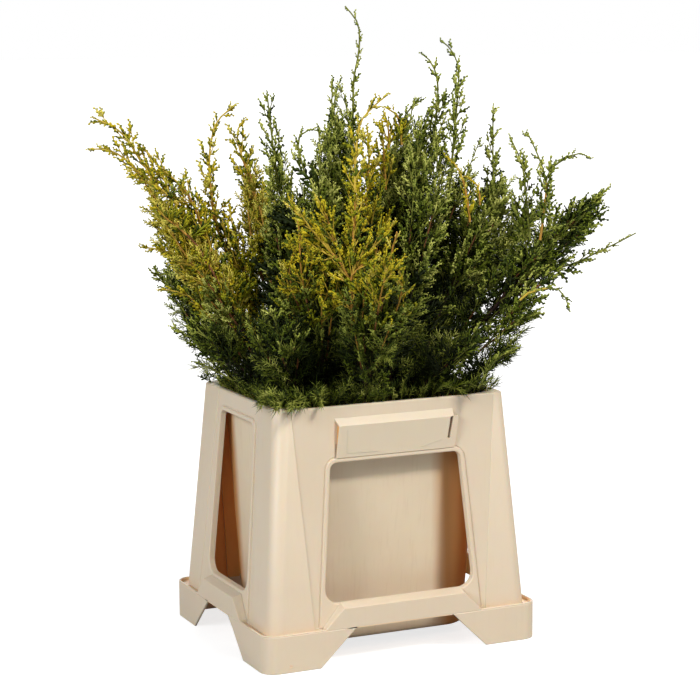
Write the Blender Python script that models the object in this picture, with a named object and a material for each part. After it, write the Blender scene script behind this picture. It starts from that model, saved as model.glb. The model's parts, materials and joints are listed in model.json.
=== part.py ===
"""Golden Chinese juniper stems standing in a moulded flower container.

The container is a tapered bucket inside a four-sided skirt with a window in each face,
on a foot band with an arch in each side. Twelve stems stand on the bucket's floor. Each
ends where it enters the crown, whose masses of foliage are cut into level slices.
Units are metres, +Z is up, and the origin is the middle of the footprint on the ground.
The long faces look along -Y (front) and +Y (back).
"""
import math
import random
from typing import NamedTuple

import bmesh
import bpy
from mathutils import Matrix, Vector

# Driving sizes of the container
RIM_HEIGHT = 0.336
RIM_HALF = (0.1667, 0.1332)
RIM_RADIUS = 0.0186
RIM_DEPTH = 0.005
SKIRT_FOOT_HEIGHT = 0.0507
SKIRT_FOOT_HALF = (0.189, 0.155)
WALL = 0.003
RECESS = 0.002
CLEARANCE = 0.0003

# Foot band: a wall around the skirt with a gutter inside it
BAND_HALF = (0.200, 0.166)
BAND_RADIUS = 0.020
BAND_TOP = 0.0507
GUTTER_FLOOR = 0.0427
APRON_TOP = 0.0763
LEDGE_RISE = 0.004

# Inner bucket
BUCKET_TOP_HALF = (0.1617, 0.1282)
BUCKET_FOOT_HALF = (0.124, 0.096)
BUCKET_BASE = 0.017
BUCKET_WALL = 0.0026
BUCKET_FLOOR = 0.021
BUCKET_BOTTOM_ROUNDING = 0.006
BUCKET_TOP_RADIUS = 0.050
BUCKET_FOOT_RADIUS = 0.037

# Card holder on each long face
HOLDER_HALF_WIDTH = 0.086
HOLDER_BOTTOM = 0.2705
HOLDER_TOP = 0.321
HOLDER_PROUD = 0.009
HOLDER_LIP = 0.006
HOLDER_FLOOR = 0.002

# Crown
CROWN_FOOT = 0.346
LEVEL_STEP = 0.028
MASS_SIDES = 10
MASS_GAP = 0.004
MASS_SEED = 41
CROWN_HALF_SPAN = (0.372, 0.265)
WHIP_RADIUS = 0.007
LEAST_RADIUS = 0.0015
PLUME_FULLNESS = 2.4

# Stems
STEM_FOOT_RADIUS = 0.0068
STEM_TOP_RADIUS = 0.0046
STEM_SIDES = 8
STEM_RINGS = 6
STEM_GATHER = 0.72
STEM_BOW = 0.002

CORNER_STEPS = 4


class Side(NamedTuple):
    """One kind of container face: its sizes as half widths along the face, and heights."""

    turns: tuple
    axis: int
    crease_top: float
    crease_foot: float
    window_top: float
    window_bottom: float
    window_top_half: float
    window_foot_half: float
    frame_width: float
    band_low: float
    band_high: float
    arch_low: float
    arch_high: float


LONG_SIDE = Side((0, 2), 1, 0.1486, 0.1250, 0.263, 0.081, 0.094, 0.110, 0.006,
                 0.1137, 0.088, 0.1213, 0.070)
SHORT_SIDE = Side((1, 3), 0, 0.0688, 0.0980, 0.308, 0.084, 0.058, 0.070, 0.006,
                  0.0780, 0.054, 0.0900, 0.0377)
SIDE_NAMES = ("front", "right", "back", "left")
ARCH_TOP = 0.0490


class Spray(NamedTuple):
    """One mass of foliage: where it starts, where its tip is, and how it spreads."""

    name: str
    tone: str
    root: tuple
    start: float
    tip: tuple
    lean: float
    width: float
    whip: float
    has_stem: bool


LOW, MID, HIGH = 0.346, 0.430, 0.542
SPRAYS = (
    Spray("far_left", "gold", (-0.106, 0.028), LOW, (-0.323, 0.116, 0.704), 0.40, 0.066, 0.30, True),
    Spray("far_left_lower", "gold", (-0.212, 0.034), HIGH, (-0.372, 0.006, 0.662), 0.45, 0.026, 0.35, False),
    Spray("golden_left", "gold", (-0.072, 0.045), LOW, (-0.121, 0.111, 0.716), 0.45, 0.056, 0.30, True),
    Spray("golden_left_back", "gold", (-0.07, 0.10), MID, (-0.078, 0.19, 0.692), 0.45, 0.05, 0.15, False),
    Spray("dark_left", "green", (-0.062, 0.004), LOW, (-0.098, 0.045, 0.736), 0.45, 0.050, 0.20, True),
    Spray("curl_left", "green", (-0.052, -0.030), MID, (-0.059, -0.028, 0.690), 0.45, 0.046, 0.22, False),
    Spray("middle_back", "dark", (-0.020, 0.050), LOW, (0.029, 0.119, 0.750), 0.45, 0.060, 0.15, True),
    Spray("leader", "green", (-0.022, 0.006), LOW, (0.003, 0.021, 0.850), 0.45, 0.054, 0.24, True),
    Spray("golden_middle", "gold", (-0.012, -0.036), LOW, (0.007, -0.091, 0.730), 0.45, 0.052, 0.10, True),
    Spray("leaning_right", "green", (0.020, -0.014), MID, (0.079, -0.036, 0.724), 0.40, 0.042, 0.16, False),
    Spray("tall_back", "green", (0.036, 0.036), LOW, (0.133, 0.049, 0.785), 0.45, 0.056, 0.18, True),
    Spray("tall_front", "green", (0.034, -0.050), LOW, (0.104, -0.070, 0.803), 0.45, 0.056, 0.18, True),
    Spray("right_leader", "dark", (0.074, 0.004), LOW, (0.231, 0.025, 0.708), 0.42, 0.056, 0.22, True),
    Spray("right_front_leader", "green", (0.11, -0.04), MID, (0.226, -0.082, 0.678), 0.45, 0.05, 0.22, False),
    Spray("right_far_leader", "green", (0.106, 0.040), LOW, (0.372, -0.006, 0.640), 0.40, 0.056, 0.25, True),
    Spray("right_bough", "dark", (0.104, -0.028), LOW, (0.316, -0.146, 0.608), 0.45, 0.066, 0.06, True),
    Spray("right_thin", "green", (0.240, -0.085), 0.486, (0.370, -0.118, 0.540), 0.50, 0.022, 0.50, False),
    Spray("right_drooping", "dark", (0.125, -0.092), LOW, (0.216, -0.210, 0.462), 0.50, 0.050, 0.20, False),
    Spray("low_right", "dark", (0.060, -0.092), LOW, (0.120, -0.190, 0.440), 0.50, 0.050, 0.00, False),
    Spray("low_far_left", "green", (-0.145, 0.052), LOW, (-0.262, 0.110, 0.530), 0.50, 0.056, 0.10, False),
    Spray("low_left", "dark", (-0.132, -0.016), LOW, (-0.238, 0.000, 0.452), 0.50, 0.052, 0.00, False),
    Spray("low_front_left", "dark", (-0.112, -0.066), LOW, (-0.172, -0.13, 0.47), 0.50, 0.052, 0.0, False),
    Spray("golden_front_left", "gold", (-0.056, -0.046), LOW, (-0.144, -0.154, 0.58), 0.45, 0.058, 0.1, True),
    Spray("golden_front", "gold", (-0.022, -0.088), LOW, (-0.060, -0.265, 0.572), 0.45, 0.054, 0.12, False),
    Spray("back_left", "green", (-0.100, 0.086), LOW, (-0.190, 0.240, 0.530), 0.45, 0.060, 0.10, False),
    Spray("back_middle", "dark", (-0.030, 0.100), LOW, (0.020, 0.265, 0.560), 0.45, 0.060, 0.10, False),
    Spray("back_right", "green", (0.050, 0.090), LOW, (0.190, 0.210, 0.630), 0.45, 0.060, 0.12, False),
    Spray("back_far_right", "dark", (0.120, 0.090), LOW, (0.290, 0.130, 0.550), 0.45, 0.058, 0.10, False),
)

TONES = {
    "plastic": ((0.77, 0.64, 0.47), 0.45),
    "bark": ((0.16, 0.07, 0.035), 0.85),
    "gold": ((0.34, 0.26, 0.03), 0.75),
    "green": ((0.10, 0.17, 0.02), 0.75),
    "dark": ((0.035, 0.085, 0.015), 0.75),
}


def clear_scene():
    """Remove the objects of the file that the script is run in."""
    for thing in list(bpy.data.objects):
        bpy.data.objects.remove(thing, do_unlink=True)


def make_material(name, tone):
    """Return a Principled material of its own for one sub-part."""
    colour, roughness = TONES[tone]
    material = bpy.data.materials.new(name)
    material.use_nodes = True
    shader = material.node_tree.nodes["Principled BSDF"]
    shader.inputs["Base Color"].default_value = (*colour, 1.0)
    shader.inputs["Roughness"].default_value = roughness
    shader.inputs["Metallic"].default_value = 0.0
    return material


def add_object(name, mesh, tone):
    """Link a finished bmesh as the named object, faces outwards."""
    bmesh.ops.recalc_face_normals(mesh, faces=mesh.faces)
    data = bpy.data.meshes.new(name)
    mesh.to_mesh(data)
    mesh.free()
    data.materials.append(make_material(name, tone))
    data.shade_smooth()
    data.set_sharp_from_angle(angle=math.radians(35))
    thing = bpy.data.objects.new(name, data)
    bpy.context.scene.collection.objects.link(thing)
    return thing


def loft(loops, tip=None, ring=False):
    """Bridge loops of equal length into one closed solid.

    With ring, the last loop joins the first, as around a window. Otherwise both ends
    are capped, and a tip makes the last cap a fan of faces to that point.
    """
    mesh = bmesh.new()
    rows = [[mesh.verts.new(point) for point in loop] for loop in loops]
    pairs = list(zip(rows, rows[1:]))
    if ring:
        pairs.append((rows[-1], rows[0]))
    count = len(rows[0])
    for low, high in pairs:
        for i in range(count):
            j = (i + 1) % count
            mesh.faces.new((low[i], low[j], high[j], high[i]))
    if not ring:
        mesh.faces.new(reversed(rows[0]))
        if tip is None:
            mesh.faces.new(rows[-1])
        else:
            apex = mesh.verts.new(tip)
            for i in range(count):
                mesh.faces.new((rows[-1][i], rows[-1][(i + 1) % count], apex))
    return mesh


def round_corners(corners, radii, steps=CORNER_STEPS):
    """Return a flat outline whose corners are rounded by arcs of the given radii."""
    outline = []
    count = len(corners)
    for i, (corner, radius) in enumerate(zip(corners, radii)):
        here = Vector(corner)
        before = (Vector(corners[i - 1]) - here).normalized()
        after = (Vector(corners[(i + 1) % count]) - here).normalized()
        half_angle = before.angle(after) / 2
        centre = here + (before + after).normalized() * radius / math.sin(half_angle)
        start = here + before * radius / math.tan(half_angle) - centre
        sweep = math.pi - 2 * half_angle
        for step in range(steps + 1):
            outline.append(centre + Matrix.Rotation(sweep * step / steps, 2) @ start)
    return outline


def rounded_rectangle(half, radius, height):
    """Return a level rounded rectangle around the Z axis as 3-D points."""
    x, y = half
    corners = ((-x, -y), (x, -y), (x, y), (-x, y))
    return [(p.x, p.y, height) for p in round_corners(corners, (radius,) * 4)]


def blend(top, foot, height, top_height=RIM_HEIGHT, foot_height=SKIRT_FOOT_HEIGHT):
    """Return the value on the straight line between two heights, also beyond them."""
    share = (top_height - height) / (top_height - foot_height)
    return top + (foot - top) * share


def skirt_depth(side, height):
    """Return how far the skirt's pillar face is from the axis at a height."""
    return blend(RIM_HALF[side.axis], SKIRT_FOOT_HALF[side.axis], height)


def face_point(side, turn, across, height, outwards=0.0):
    """Place a point given along a face, at a height, and outwards from its pillar face."""
    depth = skirt_depth(side, height) + outwards
    return Matrix.Rotation(turn * math.pi / 2, 3, "Z") @ Vector((across, -depth, height))


def make_bucket():
    """Make the tapered inner bucket with the flange that is the container's rim."""
    inner_top = tuple(half - BUCKET_WALL for half in BUCKET_TOP_HALF)
    inner_foot = tuple(half - BUCKET_WALL for half in BUCKET_FOOT_HALF)
    base_half = tuple(half - BUCKET_BOTTOM_ROUNDING for half in BUCKET_FOOT_HALF)
    base_radius = BUCKET_FOOT_RADIUS - BUCKET_BOTTOM_ROUNDING
    flange = RIM_HEIGHT - RIM_DEPTH
    loops = (
        rounded_rectangle(base_half, base_radius, BUCKET_BASE),
        rounded_rectangle(BUCKET_FOOT_HALF, BUCKET_FOOT_RADIUS, BUCKET_BASE + BUCKET_BOTTOM_ROUNDING),
        rounded_rectangle(BUCKET_TOP_HALF, BUCKET_TOP_RADIUS, flange),
        rounded_rectangle(RIM_HALF, RIM_RADIUS, flange),
        rounded_rectangle(RIM_HALF, RIM_RADIUS, RIM_HEIGHT),
        rounded_rectangle(inner_top, BUCKET_TOP_RADIUS - BUCKET_WALL, RIM_HEIGHT),
        rounded_rectangle(inner_foot, BUCKET_FOOT_RADIUS - BUCKET_WALL, BUCKET_FLOOR),
    )
    add_object("inner_bucket", loft(loops), "plastic")


def make_pillar(turn, name):
    """Make one corner pillar: an angle of the skirt that widens towards the ground."""
    loops = []
    for height in (GUTTER_FLOOR + CLEARANCE, RIM_HEIGHT - RIM_DEPTH - CLEARANCE):
        half = [blend(top, foot, height) for top, foot in zip(RIM_HALF, SKIRT_FOOT_HALF)]
        long_edge = blend(LONG_SIDE.crease_top, LONG_SIDE.crease_foot, height)
        short_edge = blend(SHORT_SIDE.crease_top, SHORT_SIDE.crease_foot, height)
        mirror = -1 if turn in (1, 3) else 1
        points = []
        for inset, forward in ((0.0, True), (WALL, False)):
            x, y, radius = half[0] - inset, half[1] - inset, RIM_RADIUS - inset
            run = [(long_edge, y)]
            for step in range(CORNER_STEPS + 1):
                angle = math.pi / 2 * (1 - step / CORNER_STEPS)
                run.append((x - radius * (1 - math.cos(angle)), y - radius * (1 - math.sin(angle))))
            run.append((x, short_edge))
            points += run if forward else run[::-1]
        flip_x = 1 if turn in (0, 1) else -1
        loops.append([(px * flip_x, -py * mirror * flip_x, height) for px, py in points])
    add_object(name, loft(loops), "plastic")


def make_panel(side, turn, name):
    """Make one face of the skirt between its pillars, with its framed window."""
    top = RIM_HEIGHT - RIM_DEPTH - CLEARANCE
    foot = ARCH_TOP + 2 * CLEARANCE
    edges = [blend(side.crease_top, side.crease_foot, height) - CLEARANCE for height in (foot, top)]
    outer = ((-edges[0], foot), (edges[0], foot), (edges[1], top), (-edges[1], top))
    radii = (0.020, 0.020, 0.010, 0.010)
    half_foot, half_top = side.window_foot_half, side.window_top_half

    def window(grow):
        low, high = side.window_bottom - grow, side.window_top + grow
        corners = ((-half_foot - grow, low), (half_foot + grow, low),
                   (half_top + grow, high), (-half_top - grow, high))
        return round_corners(corners, [radius + grow for radius in radii])

    border = round_corners(outer, (0.0015,) * 4)
    back = -RECESS - WALL
    frame = side.frame_width
    layers = ((border, -RECESS), (window(frame), -RECESS), (window(frame - 0.0015), 0.0),
              (window(0.0), 0.0), (window(0.0), back), (border, back))
    loops = [[face_point(side, turn, p.x, p.y, out) for p in outline] for outline, out in layers]
    add_object(name, loft(loops, ring=True), "plastic")


def make_foot(corner, name):
    """Make one corner of the foot band: its wall, and the gutter floor under the pillar."""
    sx, sy = corner
    x_end, y_end = BAND_HALF
    inner = BAND_HALF[0] - blend(RIM_HALF[0], SKIRT_FOOT_HALF[0], GUTTER_FLOOR) + WALL
    profile = ((0.0, 0.0), (0.0, BAND_TOP), (WALL, BAND_TOP), (WALL, GUTTER_FLOOR),
               (inner, GUTTER_FLOOR), (inner, GUTTER_FLOOR - WALL), (WALL, GUTTER_FLOOR - WALL), (WALL, 0.0))
    loops = []
    stations = [((LONG_SIDE.arch_low, y_end), (0.0, 1.0))]
    for step in range(CORNER_STEPS + 2):
        angle = math.pi / 2 * (1 - step / (CORNER_STEPS + 1))
        normal = (math.cos(angle), math.sin(angle))
        place = (x_end - BAND_RADIUS * (1 - normal[0]), y_end - BAND_RADIUS * (1 - normal[1]))
        stations.append((place, normal))
    stations.append(((x_end, SHORT_SIDE.arch_low), (1.0, 0.0)))
    for (x, y), (nx, ny) in stations:
        loops.append([(sx * (x - inset * nx), sy * (y - inset * ny), z) for inset, z in profile])
    add_object(name, loft(loops), "plastic")


def make_apron(side, turn, name):
    """Make the raised middle of one band side, over its arch, with the ledge to the panel."""
    end = side.arch_low - CLEARANCE
    slope = ARCH_TOP / (side.arch_low - side.arch_high)
    rows = []
    for across, top in ((end, BAND_TOP), (side.band_low, BAND_TOP), (side.band_high, APRON_TOP),
                        (side.arch_high, APRON_TOP)):
        bottom = min(ARCH_TOP, (side.arch_low - across) * slope + CLEARANCE)
        rise = LEDGE_RISE * (top - BAND_TOP) / (APRON_TOP - BAND_TOP)
        rows.append((across, bottom, top, rise))
    rows = [(-across, *rest) for across, *rest in rows] + rows[::-1]
    turned = Matrix.Rotation(turn * math.pi / 2, 3, "Z")
    face = BAND_HALF[side.axis]
    loops = []
    for across, bottom, top, rise in rows:
        ledge = face - skirt_depth(side, top + rise - WALL) - CLEARANCE
        profile = ((0.0, bottom), (0.0, top), (ledge, top + rise), (ledge, top + rise - WALL),
                   (WALL, top - WALL), (WALL, bottom))
        loops.append([turned @ Vector((across, inset - face, z)) for inset, z in profile])
    add_object(name, loft(loops), "plastic")


def make_holder(turn, name):
    """Make the shallow card holder above a long side's window, open at its front."""
    side = LONG_SIDE
    back = -RECESS + CLEARANCE
    front = back + HOLDER_PROUD

    def outline(inset):
        x = HOLDER_HALF_WIDTH - inset
        low, high = HOLDER_BOTTOM + inset, HOLDER_TOP - inset
        return ((-x, low), (x, low), (x, high), (-x, high))

    layers = ((outline(0.0), back), (outline(0.0), front), (outline(HOLDER_LIP), front),
              (outline(HOLDER_LIP + 0.001), back + HOLDER_FLOOR))
    loops = [[face_point(side, turn, x, z, out) for x, z in shape] for shape, out in layers]
    add_object(name, loft(loops), "plastic")


def spray_levels(spray):
    """Return the level slices of a mass, from its start to just under its tip."""
    levels = []
    index = round((spray.start - CROWN_FOOT) / LEVEL_STEP)
    height = CROWN_FOOT + index * LEVEL_STEP
    while height < spray.tip[2] - LEVEL_STEP * 0.3:
        levels.append(height)
        index += 1
        height = CROWN_FOOT + index * LEVEL_STEP
    return levels


def spray_axis(spray, height):
    """Return where a mass's middle line crosses a level: it rises, then arches to its tip."""
    share = (height - spray.start) / (spray.tip[2] - spray.start)
    share = min(max(share, 0.0), 1.0)
    reach = 2 * share * (1 - share) * spray.lean + share * share
    root = Vector(spray.root)
    return root + (Vector(spray.tip[:2]) - root) * reach


def spray_radius(spray, height):
    """Return the mean radius of a mass at a level: full low down, a thin shoot at the tip."""
    share = (height - spray.start) / (spray.tip[2] - spray.start)
    shoot = WHIP_RADIUS * math.sqrt(max(1.0 - share, 0.0) + 0.05)
    body = share / (1.0 - spray.whip)
    if body >= 1.0:
        return shoot
    return max(shoot, spray.width * (0.68 + 0.95 * body) * (1.0 - body ** PLUME_FULLNESS))


def slice_outline(spray, height, standing, waves):
    """Return a mass's uneven outline at a level, kept clear of every mass beside it."""
    middle = spray_axis(spray, height)
    radius = spray_radius(spray, height)
    points = []
    for step in range(MASS_SIDES):
        angle = 2 * math.pi * step / MASS_SIDES + waves[0]
        ray = Vector((math.cos(angle), math.sin(angle)))
        broad = 0.16 * math.sin(2 * angle + waves[1] + 14 * height)
        narrow = 0.12 * math.sin(5 * angle + waves[2] - 31 * height)
        length = radius * (1.0 + broad + narrow)
        for other in standing:
            if other is spray:
                continue
            between = spray_axis(other, height) - middle
            distance = between.length
            share = math.sqrt(radius) / (math.sqrt(radius) + math.sqrt(spray_radius(other, height)))
            facing = ray.dot(between) / distance
            if facing > 1e-6:
                length = min(length, (distance * share - MASS_GAP / 2) / facing)
        point = middle + ray * max(length, LEAST_RADIUS)
        x, y = (min(max(place, 0.001 - half), half - 0.001) for place, half in zip(point, CROWN_HALF_SPAN))
        points.append((x, y, height))
    return points


def make_mass(spray, chance):
    """Make one mass of foliage as a closed, uneven plume that ends in its tip."""
    waves = [chance.uniform(0, 2 * math.pi) for _ in range(3)]
    loops = []
    for height in spray_levels(spray):
        standing = [other for other in SPRAYS
                    if other.start - LEVEL_STEP / 2 < height < other.tip[2] + LEVEL_STEP]
        loops.append(slice_outline(spray, height, standing, waves))
    add_object("mass_" + spray.name, loft(loops, tip=spray.tip), spray.tone)


def make_stem(spray, chance):
    """Make one tapering stem from the bucket's floor to where it enters its mass."""
    foot = Vector(spray.root) * STEM_GATHER
    top = Vector(spray.root)
    low, high = BUCKET_FLOOR + CLEARANCE, CROWN_FOOT - CLEARANCE
    sway = chance.uniform(0, 2 * math.pi)
    bow = Vector((math.cos(sway), math.sin(sway))) * STEM_BOW
    loops = []
    for ring in range(STEM_RINGS):
        share = ring / (STEM_RINGS - 1)
        middle = foot.lerp(top, share) + bow * math.sin(math.pi * share)
        radius = STEM_FOOT_RADIUS + (STEM_TOP_RADIUS - STEM_FOOT_RADIUS) * share
        loops.append([(middle.x + radius * math.cos(2 * math.pi * i / STEM_SIDES),
                       middle.y + radius * math.sin(2 * math.pi * i / STEM_SIDES),
                       low + (high - low) * share) for i in range(STEM_SIDES)])
    add_object("stem_" + spray.name, loft(loops), "bark")


def build():
    """Build the container, the stems and the crown."""
    clear_scene()
    make_bucket()
    for turn, name in enumerate(("front_right", "back_right", "back_left", "front_left")):
        make_pillar(turn, "pillar_" + name)
    for side in (LONG_SIDE, SHORT_SIDE):
        for turn in side.turns:
            make_panel(side, turn, "panel_" + SIDE_NAMES[turn])
            make_apron(side, turn, "apron_" + SIDE_NAMES[turn])
    for sx, across in ((1, "right"), (-1, "left")):
        for sy, along in ((-1, "front"), (1, "back")):
            make_foot((sx, sy), f"foot_{along}_{across}")
    for turn in LONG_SIDE.turns:
        make_holder(turn, "card_holder_" + SIDE_NAMES[turn])
    chance = random.Random(MASS_SEED)
    for spray in SPRAYS:
        make_mass(spray, chance)
        if spray.has_stem:
            make_stem(spray, chance)


build()
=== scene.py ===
"""The looks of golden juniper stems in a moulded flower container.

The container's pieces are rebuilt with rolled edges, frames and finishes, and the crown is grown
as limbs, twigs and scale-leaved sprigs in the places of the model's plain masses of foliage.
Units are metres, +Z is up, and the origin is the middle of the container's foot on the ground.
"""

import json
import logging
import math
import random
from collections.abc import Callable, Iterable
from dataclasses import dataclass, field
from enum import Enum

import bmesh
import bpy
from bmesh.types import BMesh, BMVert
from bpy.types import ID, Material, Mesh, Node, NodeSocket, NodeTree, Object
from mathutils import Matrix, Vector, noise


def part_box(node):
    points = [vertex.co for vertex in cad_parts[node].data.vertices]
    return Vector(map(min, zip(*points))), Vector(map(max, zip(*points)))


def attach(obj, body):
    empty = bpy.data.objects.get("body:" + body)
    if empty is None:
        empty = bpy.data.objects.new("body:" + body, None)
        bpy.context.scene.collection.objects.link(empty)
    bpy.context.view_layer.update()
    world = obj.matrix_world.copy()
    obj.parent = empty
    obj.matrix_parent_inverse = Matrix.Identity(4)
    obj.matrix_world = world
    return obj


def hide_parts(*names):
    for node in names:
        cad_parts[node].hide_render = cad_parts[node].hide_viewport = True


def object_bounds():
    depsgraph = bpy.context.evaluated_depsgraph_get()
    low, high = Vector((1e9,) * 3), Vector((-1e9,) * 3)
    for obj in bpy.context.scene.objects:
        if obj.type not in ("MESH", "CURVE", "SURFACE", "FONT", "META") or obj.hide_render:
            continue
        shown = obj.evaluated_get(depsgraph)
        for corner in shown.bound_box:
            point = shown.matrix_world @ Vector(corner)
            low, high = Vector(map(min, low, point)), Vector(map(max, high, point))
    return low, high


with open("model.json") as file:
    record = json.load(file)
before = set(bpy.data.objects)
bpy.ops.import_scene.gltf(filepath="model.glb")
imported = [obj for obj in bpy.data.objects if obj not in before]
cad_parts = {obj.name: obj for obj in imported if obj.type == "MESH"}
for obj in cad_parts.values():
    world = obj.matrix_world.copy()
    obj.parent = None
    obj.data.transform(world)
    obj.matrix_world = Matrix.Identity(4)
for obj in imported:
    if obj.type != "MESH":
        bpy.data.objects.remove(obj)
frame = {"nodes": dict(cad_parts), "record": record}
CAD_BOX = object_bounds()

LOG = logging.getLogger("juniper")
BODY = "root"
SIDE_NAMES = ("front", "right", "back", "left")
GOLDEN_ANGLE = math.radians(137.5)
Colour = tuple[float, float, float]
Loop = list[Vector]
Corners = list[tuple[float, float]]
Reach = Callable[[Vector, Vector, float], float]


class Slot(Enum):
    """The record's material slots."""

    PLASTIC = "container_plastic"
    BARK = "bark"
    GOLD = "golden_foliage"
    GREEN = "green_foliage"
    DARK = "dark_foliage"


class Wiring:
    """Adds and joins the nodes of one tree."""

    def __init__(self, tree: NodeTree) -> None:
        """Take hold of a shader or geometry tree."""
        self.tree = tree

    @classmethod
    def start(cls, name: str, kind: str, inputs: dict[str, tuple[str, object]],
              outputs: dict[str, str]) -> tuple["Wiring", Node, Node]:
        """Start a node group with its sockets, whose types are told without the word NodeSocket.

        Args:
            name: the group's name.
            kind: ShaderNodeTree or GeometryNodeTree.
            inputs: socket type and default value, or None, by name.
            outputs: socket type by name.

        Returns:
            The wiring, the input node and the output node.
        """
        wiring = cls(bpy.data.node_groups.new(name, kind))
        interface = wiring.tree.interface
        for title, (sort, value) in inputs.items():
            socket = interface.new_socket(title, in_out="INPUT", socket_type="NodeSocket" + sort)
            if value is not None:
                socket.default_value = value
        for title, sort in outputs.items():
            interface.new_socket(title, in_out="OUTPUT", socket_type="NodeSocket" + sort)
        return wiring, wiring.add("NodeGroupInput"), wiring.add("NodeGroupOutput")

    def add(self, kind: str, inputs: dict | None = None, **settings: object) -> Node:
        """Add a node, with its settings and its inputs.

        Args:
            kind: Blender's name for the type of node.
            inputs: the values or source sockets of its inputs, by socket identifier or name.
            settings: the node's own properties.

        Returns:
            The new node.
        """
        node = self.tree.nodes.new(kind)
        for name, value in settings.items():
            setattr(node, name, value)
        self.feed(node, inputs or {})
        return node

    def feed(self, node: Node, inputs: dict) -> None:
        """Set or link a node's inputs.

        Args:
            node: the node.
            inputs: values or source sockets, by socket identifier or name.
        """
        for key, value in inputs.items():
            found = [socket for socket in node.inputs if socket.identifier == key]
            socket = found[0] if found else node.inputs[key]
            if isinstance(value, NodeSocket):
                self.tree.links.new(value, socket)
            else:
                socket.default_value = value

    def calculate(self, operation: str, *values: float | NodeSocket) -> NodeSocket:
        """Add a sum on values and sockets, and return its result."""
        inputs = dict(zip(("Value", "Value_001", "Value_002"), values))
        return self.add("ShaderNodeMath", inputs, operation=operation).outputs[0]

    def blend(self, factor: NodeSocket, low: NodeSocket, high: NodeSocket) -> NodeSocket:
        """Add a mix of two colours, and return its result."""
        inputs = {"Factor_Float": factor, "A_Color": low, "B_Color": high}
        return self.add("ShaderNodeMix", inputs, data_type="RGBA").outputs[2]


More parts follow.
